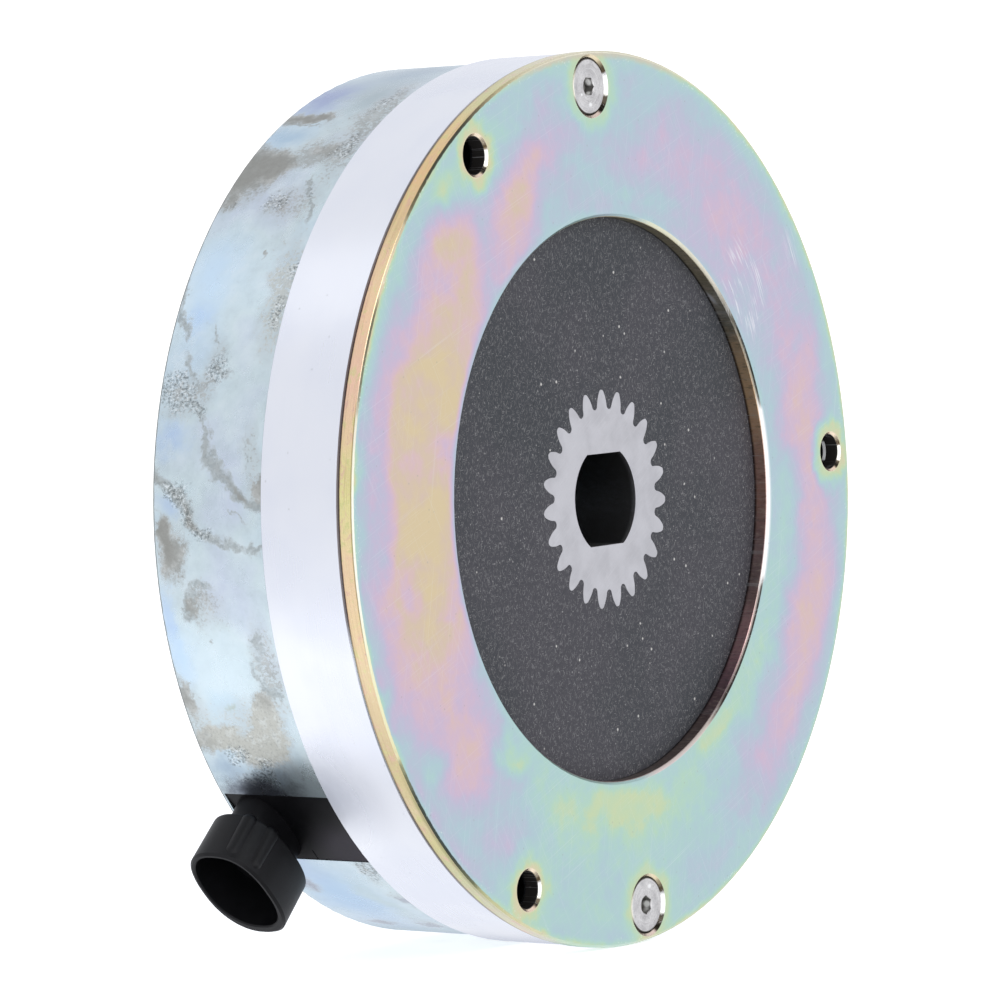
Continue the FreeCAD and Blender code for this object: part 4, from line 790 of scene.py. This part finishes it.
    # turned rear face: rings, and a dark trace of oil in the joint with the ring
    rear = s.smooth(y, 43.40, 43.49)
    rings = s.noise(0.4, 3.0, 0.6, at=s.join(r, s.mul(a, 0.01), 0.0))
    col = s.mix(s.mul(rear, s.smooth(rings, 0.5, 0.75, 0.0, 0.22)), col, lin((160, 168, 172)))
    # painted shade along the rounded rear edge: an even grey, made less reflective, so the outline reads dark
    lip = s.mul(s.mul(s.smooth(r, 77.9, 78.1), s.smooth(s.add(y, s.mul(coarse, 0.5)), 42.70, 42.95)), s.smooth(y, 43.49, 43.40))
    lip_tone = s.mix(s.smooth(coarse, -0.12, 0.12), lin((112, 114, 112)), lin((146, 152, 152)))
    col = s.mix(s.mul(lip, 0.95), col, lip_tone)
    joint = s.mul(s.smooth(y, 19.75, 19.62), s.smooth(r, 78.5, 78.8))
    col = s.mix(s.mul(joint, 0.6), col, lin((120, 118, 116)))
    # painted shade down the holes' walls
    holes = s.smooth(lowest(s, [s.near(h) for h in HOLES]), 3.5, 3.3)
    col = s.mix(s.mul(holes, 0.6), col, lin((120, 122, 120)))

    rough = s.m("MULTIPLY_ADD", s.noise(7.0, 3.0, 0.6), 0.12, 0.22)
    rough = s.blend(grey, rough, 0.46)
    height = s.m("MULTIPLY_ADD", s.noise(0.6, 3.0, 0.6), 0.5, s.mul(grey, 0.35))
    height = s.mul(s.add(height, s.mul(cloud, 0.6)), s.sub(1.0, s.smooth(y, 42.2, 42.6)))
    normal = s.bump(height, 0.03, 0.6)
    rough = s.blend(lip, rough, 0.75)
    s.surface(Base_Color=col, Metallic=s.mul(s.blend(grey, 0.90, 0.72), s.sub(1.0, lip)), Roughness=rough, Normal=normal,
              Specular_Tint=s.mix(s.mul(s.smooth(a, 250.0, 260.0), s.smooth(a, 300.0, 285.0)), (1.0, 1.0, 1.0, 1.0), (0.70, 0.76, 0.82, 1.0)),
              Specular_IOR_Level=s.blend(lip, 0.5, 0.08))
    return s.data


# ------------------------------------------------------------------ friction lining
def friction_lining():
    """Moulded friction material: dark grey binder with pale mineral flecks, short fibres and pores."""
    s = Sheet("friction_lining")
    x, y, z, r, a, b = s.polar()
    tone = s.noise(30.0, 3.0, 0.5)
    mottle = s.noise(1.0, 4.0, 0.68, offset=(3.0, 0.0, 8.0))
    fine = s.noise(0.32, 2.0, 0.6, offset=(13.0, 0.0, 2.0))
    col = s.mix(s.smooth(tone, 0.35, 0.65), lin((55, 57, 61)), lin((64, 63, 68)))
    col = s.mix(s.smooth(mottle, 0.50, 0.78, 0.0, 0.40), col, lin((82, 82, 84)))
    col = s.mix(s.smooth(mottle, 0.50, 0.26, 0.0, 0.45), col, lin((42, 43, 47)))
    col = s.mix(s.smooth(fine, 0.56, 0.74, 0.0, 0.30), col, lin((98, 98, 100)))
    flecks = s.smooth(s.cells(1.25), 0.16, 0.07, 0.0, 1.0)
    pick = s.smooth(s.noise(1.3, 1.0, 0.5, offset=(7.0, 7.0, 7.0)), 0.50, 0.58)
    col = s.mix(s.mul(s.mul(flecks, pick), 0.45), col, lin((178, 176, 174)))
    big = s.smooth(s.cells(4.6, at=s.v("ADD", s.mm(), (50.0, 3.0, 20.0))), 0.075, 0.035, 0.0, 0.75)
    col = s.mix(big, col, lin((206, 203, 198)))
    fib = s.strokes(62.0, 0.17, 1.5, 0.70, 0.05)
    for k, (t, o) in enumerate(((8.0, 11.0), (128.0, 27.0), (96.0, 63.0))):
        fib = s.m("MAXIMUM", fib, s.strokes(t, 0.16, 1.4, 0.71, 0.05, offset=(o, o * 0.7, 0.0)))
    col = s.mix(s.mul(fib, 0.34), col, lin((172, 171, 170)))
    pores = s.smooth(s.cells(1.9, at=s.v("ADD", s.mm(), (9.0, 33.0, 2.0))), 0.12, 0.05)
    col = s.mix(s.mul(pores, 0.5), col, lin((36, 36, 38)))
    height = s.m("MULTIPLY_ADD", mottle, 0.6, s.mul(fine, 0.4))
    height = s.sub(s.add(height, s.mul(fib, 0.25)), s.mul(pores, 0.8))
    rough = s.m("MULTIPLY_ADD", mottle, 0.2, 0.58)
    normal = s.bump(height, 0.05, 0.7)
    s.surface(Base_Color=col, Metallic=0.0, Roughness=rough, Normal=normal, Specular_IOR_Level=0.25)
    return s.data


# ------------------------------------------------------------------ plain steels and the rest
def steel(name, light, dark, rough=0.32, turned=True, size=0.3, metal=1.0, stain=None, bump=0.012):
    """Machined steel: turning or grinding marks and soft staining."""
    s = Sheet(name)
    x, y, z, r, a, b = s.polar()
    if turned:
        marks = s.noise(size, 3.0, 0.62, at=s.join(r, s.mul(a, 0.015), s.mul(y, 1.0)))
    else:
        marks = s.noise(size, 3.0, 0.62, at=s.join(s.mul(x, 0.10), y, z))
    patch = s.noise(6.0, 4.0, 0.58, offset=(2.0, 4.0, 6.0))
    col = s.mix(s.smooth(patch, 0.34, 0.70), lin(light), lin(dark))
    col = s.mix(s.smooth(marks, 0.52, 0.78, 0.0, 0.35), col, lin(tuple(min(255, c + 16) for c in light)))
    if stain:
        col = s.mix(s.smooth(s.noise(2.8, 4.0, 0.65, offset=(9.0, 1.0, 0.0)), 0.58, 0.75, 0.0, 0.6), col, lin(stain))
    grain = s.noise(0.25, 3.0, 0.6)
    ro = s.m("MULTIPLY_ADD", grain, 0.14, rough - 0.07)
    normal = s.bump(s.m("MULTIPLY_ADD", grain, 0.4, marks), bump, 0.7)
    s.surface(Base_Color=col, Metallic=metal, Roughness=ro, Normal=normal)
    return s.data


def hub_steel():
    """Steel hub with a ground front face: satin, a faint straight lay, and painted shade down its shaft hole."""
    s = Sheet("hub_steel")
    x, y, z, r, a, b = s.polar()
    lay = s.noise(0.30, 4.0, 0.65, at=s.join(s.mul(s.add(s.mul(x, 0.80), s.mul(z, 0.60)), 0.06), s.add(s.mul(x, -0.60), s.mul(z, 0.80)), y))
    patch = s.noise(5.0, 4.0, 0.55, offset=(2.0, 0.0, 14.0))
    grain = s.noise(0.22, 3.0, 0.65)
    col = s.mix(s.smooth(patch, 0.33, 0.70), lin((202, 201, 204)), lin((190, 189, 192)))
    col = s.mix(s.smooth(lay, 0.50, 0.75, 0.0, 0.35), col, lin((216, 215, 217)))
    col = s.mix(s.smooth(grain, 0.55, 0.78, 0.0, 0.30), col, lin((170, 170, 172)))
    # painted shade down the shaft hole's wall
    inside = s.mul(s.smooth(y, 3.1, 4.2), s.smooth(r, 10.4, 9.9))
    col = s.mix(s.mul(inside, 0.72), col, lin((52, 50, 48)))
    rough = s.m("MULTIPLY_ADD", grain, 0.16, 0.34)
    normal = s.bump(s.m("MULTIPLY_ADD", grain, 0.7, lay), 0.012, 0.8)
    s.surface(Base_Color=col, Metallic=1.0, Roughness=rough, Normal=normal)
    return s.data


def plastic(name, dark, light, rough=0.36, size=0.35, spec=0.5, bump=0.02, specks=None):
    """Moulded plastic or rubber: fine spark-eroded grain and slight flow marks."""
    s = Sheet(name)
    grain = s.noise(size, 3.0, 0.6)
    flow = s.noise(7.0, 3.0, 0.55, offset=(4.0, 4.0, 4.0))
    col = s.mix(s.smooth(flow, 0.35, 0.70), lin(dark), lin(light))
    col = s.mix(s.smooth(grain, 0.58, 0.80, 0.0, 0.35), col, lin(tuple(min(255, int(c * 1.35) + 5) for c in light)))
    if specks:
        col = s.mix(s.smooth(s.cells(2.2), 0.09, 0.04, 0.0, 0.6), col, lin(specks))
    ro = s.m("MULTIPLY_ADD", flow, 0.14, s.m("MULTIPLY_ADD", grain, 0.10, rough - 0.12))
    normal = s.bump(s.m("MULTIPLY_ADD", grain, 1.0, s.mul(flow, 0.5)), bump, 0.6)
    if name == "black_nylon":
        # the base is dull beside the socket's neck, and at its front a faint lilac painted sheen, broken up by the
        # grain
        x, y, z, r, a, b = s.polar()
        k = 79.0 * math.pi / 180.0
        place = s.join(s.mul(s.sub(a, 225.5), k), y, 0.0)
        flat = s.smooth(r, 82.6, 81.4)
        dull = s.mul(s.m("MINIMUM", s.blob(None, place, (1.5, 35.5), (12.0, 11.0), 1.9), 1.0), flat)
        lilac_sheen = s.mul(s.m("MINIMUM", s.blob(None, place, (6.0, 23.0), (9.0, 9.0), 1.4), 1.0), flat)
        col = s.mix(s.mul(lilac_sheen, s.m("MULTIPLY_ADD", grain, 0.9, 0.1)), col, lin((44, 38, 50)))
        spec = s.blend(dull, spec, 0.06)
    s.surface(Base_Color=col, Metallic=0.0, Roughness=ro, Normal=normal, Specular_IOR_Level=spec)
    return s.data


def copper_winding():
    """Enamelled copper wire, wound in layers round the bobbin."""
    s = Sheet("enamelled_copper")
    x, y, z, r, a, b = s.polar()
    turns = s.m("PINGPONG", s.add(y, s.mul(a, 0.0018)), 0.33)
    gap = s.smooth(turns, 0.10, 0.0)
    patch = s.noise(5.0, 3.0, 0.6)
    col = s.mix(s.smooth(patch, 0.35, 0.68), lin((178, 92, 48)), lin((150, 70, 36)))
    col = s.mix(s.mul(gap, 0.8), col, lin((62, 26, 14)))
    rough = s.m("MULTIPLY_ADD", patch, 0.2, 0.18)
    normal = s.bump(s.m("SQRT", turns), 0.3, 0.9)
    s.surface(Base_Color=col, Metallic=0.85, Roughness=rough, Normal=normal, Coat_Weight=0.5, Coat_Roughness=0.12)
    return s.data


materials = {
    "iridescent_zinc": iridescent_zinc(),
    "machined_aluminium": machined_aluminium(),
    "clear_zinc": clear_zinc(),
    "nickel_steel": nickel_steel(),
    "hub_steel": hub_steel(),
    "friction_lining": friction_lining(),
    "disc_steel": steel("disc_steel", (168, 168, 170), (140, 141, 144), 0.36, False, stain=(112, 102, 92)),
    "armature_steel": steel("armature_steel", (176, 177, 180), (150, 152, 156), 0.34, True, 0.4, stain=(120, 116, 112)),
    "shim_brass": steel("shim_brass", (214, 184, 112), (190, 158, 92), 0.28, False, 0.25),
    "pin_steel": steel("pin_steel", (206, 207, 210), (184, 186, 190), 0.2, True, 0.2),
    "spring_steel": steel("spring_steel", (150, 150, 152), (118, 118, 122), 0.3, False, 0.15, stain=(96, 84, 72)),
    "cap_steel": steel("cap_steel", (204, 212, 216), (178, 186, 190), 0.26, True, 0.5, stain=(160, 160, 152)),
    "bobbin_plastic": plastic("bobbin_plastic", (196, 190, 172), (214, 208, 190), 0.5, 0.4, specks=(150, 144, 130)),
    "enamelled_copper": copper_winding(),
    "potting_resin": plastic("potting_resin", (40, 34, 30), (58, 48, 40), 0.3, 0.6, bump=0.05, specks=(110, 98, 84)),
    "lead_insulation": plastic("lead_insulation", (150, 30, 26), (172, 42, 34), 0.42, 0.5),
    "tinned_copper": steel("tinned_copper", (168, 167, 162), (132, 130, 124), 0.38, False, 0.2, stain=(176, 150, 118)),
    "seal_rubber": plastic("seal_rubber", (150, 62, 44), (168, 76, 54), 0.6, 0.4),
    "grommet_rubber": plastic("grommet_rubber", (30, 30, 31), (42, 42, 43), 0.62, 0.4),
    "black_nylon": plastic("black_nylon", (12, 12, 14), (18, 18, 20), 0.42, 0.30, 0.22, 0.02),
}

for name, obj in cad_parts.items():
    for k, slot in enumerate(obj.material_slots):
        slot.material = materials[slot.material.name.split(".")[0]]

# ------------------------------------------------------------------ floor, light, camera
size = 4.0
mesh = bpy.data.meshes.new("floor")
n = 96
verts = [(0.0, 0.02, -0.0801)] + [(size * math.cos(2 * math.pi * k / n), 0.02 + size * math.sin(2 * math.pi * k / n), -0.0801) for k in range(n)]
mesh.from_pydata(verts, [], [(0, 1 + k, 1 + (k + 1) % n) for k in range(n)])
floor = bpy.data.objects.new("floor", mesh)
scene.collection.objects.link(floor)
s = Sheet("pale_floor")
tone = s.noise(300.0, 3.0, 0.5)
col = s.mix(s.smooth(tone, 0.3, 0.7), lin((240, 241, 243)), lin((246, 247, 248)))
s.surface(Base_Color=col, Roughness=s.m("MULTIPLY_ADD", s.noise(4.0, 2.0, 0.5), 0.1, 0.8), Emission_Color=(1.0, 1.0, 1.0, 1.0), Emission_Strength=0.55)
mesh.materials.append(s.data)
floor.visible_glossy = False

world = bpy.data.worlds.new("studio")
scene.world = world
s = Sheet("studio", world)
d = s.node("ShaderNodeTexCoord").outputs["Generated"]
dx, dy, dz = s.xyz(d)
turn = s.m("MULTIPLY_ADD", s.m("ARCTAN2", s.mul(dz, -1.0), s.mul(dx, -1.0)), 0.5 / math.pi, 0.5)


def grey(v):
    return (v * 0.985, v, v * 1.055, 1.0)


# a light tent, read round the brake's axis: two brighter panels, at the upper left and at the lower left
tent = s.ramp(turn, [
    (0.0, grey(0.98)), (0.06, grey(0.90)), (0.11, grey(0.86)), (0.285, grey(0.84)), (0.302, grey(0.84)), (0.312, grey(0.99)),
    (0.366, grey(0.99)), (0.380, grey(0.85)), (0.50, grey(0.86)), (0.580, grey(0.98)), (0.594, grey(1.16)), (0.674, grey(1.15)),
    (0.704, grey(0.87)), (0.735, grey(0.90)), (0.78, grey(1.0)), (0.84, grey(1.02)), (0.90, grey(0.96)), (0.93, grey(0.89)), (0.96, grey(0.85)), (0.985, grey(0.92)), (1.0, grey(0.94))])
# in front: an open side to the right, a white panel straight to the left, and dark studio above and below the panel
facing = s.smooth(dy, -0.22, -0.40)
panel = s.mul(s.smooth(dz, -0.52, -0.44), s.smooth(dz, 0.46, 0.38))
side_on = s.smooth(dx, 0.10, 0.40)
dark = s.smooth(dz, -0.1, 0.1, 0.30, 0.06)
front = s.blend(panel, dark, 1.5)
front = s.blend(side_on, front, 1.02)
front_tint = s.join(s.mul(front, 0.985), front, s.mul(front, 1.05))
tent = s.mix(facing, tent, front_tint)
back = s.node("ShaderNodeBackground")
s.put(back.inputs["Color"], tent)
back.inputs["Strength"].default_value = 1.0
white = s.node("ShaderNodeBackground")
white.inputs["Color"].default_value = (1.0, 1.0, 1.0, 1.0)
white.inputs["Strength"].default_value = 1.3
path = s.node("ShaderNodeLightPath")
mixer = s.node("ShaderNodeMixShader")
s.put(mixer.inputs[0], path.outputs["Is Camera Ray"])
s.t.links.new(back.outputs[0], mixer.inputs[1])
s.t.links.new(white.outputs[0], mixer.inputs[2])
out = s.node("ShaderNodeOutputWorld")
s.t.links.new(mixer.outputs[0], out.inputs[0])


def softbox(name, place, target, w, h, power, colour=(1.0, 1.0, 1.0)):
    light = bpy.data.lights.new(name, "AREA")
    light.shape = "RECTANGLE"
    light.size, light.size_y = w, h
    light.energy = power
    light.color = colour
    o = bpy.data.objects.new(name, light)
    o.location = place
    o.rotation_euler = (Vector(target) - Vector(place)).to_track_quat("-Z", "Y").to_euler()
    scene.collection.objects.link(o)
    return o


softbox("key", (-0.55, -1.15, 0.95), (0.0, 0.02, 0.0), 0.9, 0.6, 5.0)

# the camera stands where the photographer stood, found from the outline and the holes
az, el, roll = rad(-55.08), rad(0.70), rad(-0.62)
back_v = Vector((math.sin(az) * math.cos(el), -math.cos(az) * math.cos(el), math.sin(el)))
right = Vector((0, 0, 1)).cross(back_v).normalized()
up = back_v.cross(right)
r2 = math.cos(roll) * right + math.sin(roll) * up
u2 = -math.sin(roll) * right + math.cos(roll) * up
place = Vector((0.0, 0.020, 0.0)) + back_v * 0.8572 + r2 * (-0.0049) + u2 * (-0.0002)
cam = bpy.data.cameras.new("camera")
cam.sensor_fit = "HORIZONTAL"
cam.sensor_width = 36.0
cam.lens = 4730.7 / 1001.0 * 36.0
cam.clip_start, cam.clip_end = 0.01, 100.0
camera = bpy.data.objects.new("camera", cam)
rot = Matrix((r2, u2, back_v)).transposed()
camera.matrix_world = Matrix.Translation(place) @ rot.to_4x4()
scene.collection.objects.link(camera)
scene.camera = camera

bpy.context.view_layer.update()
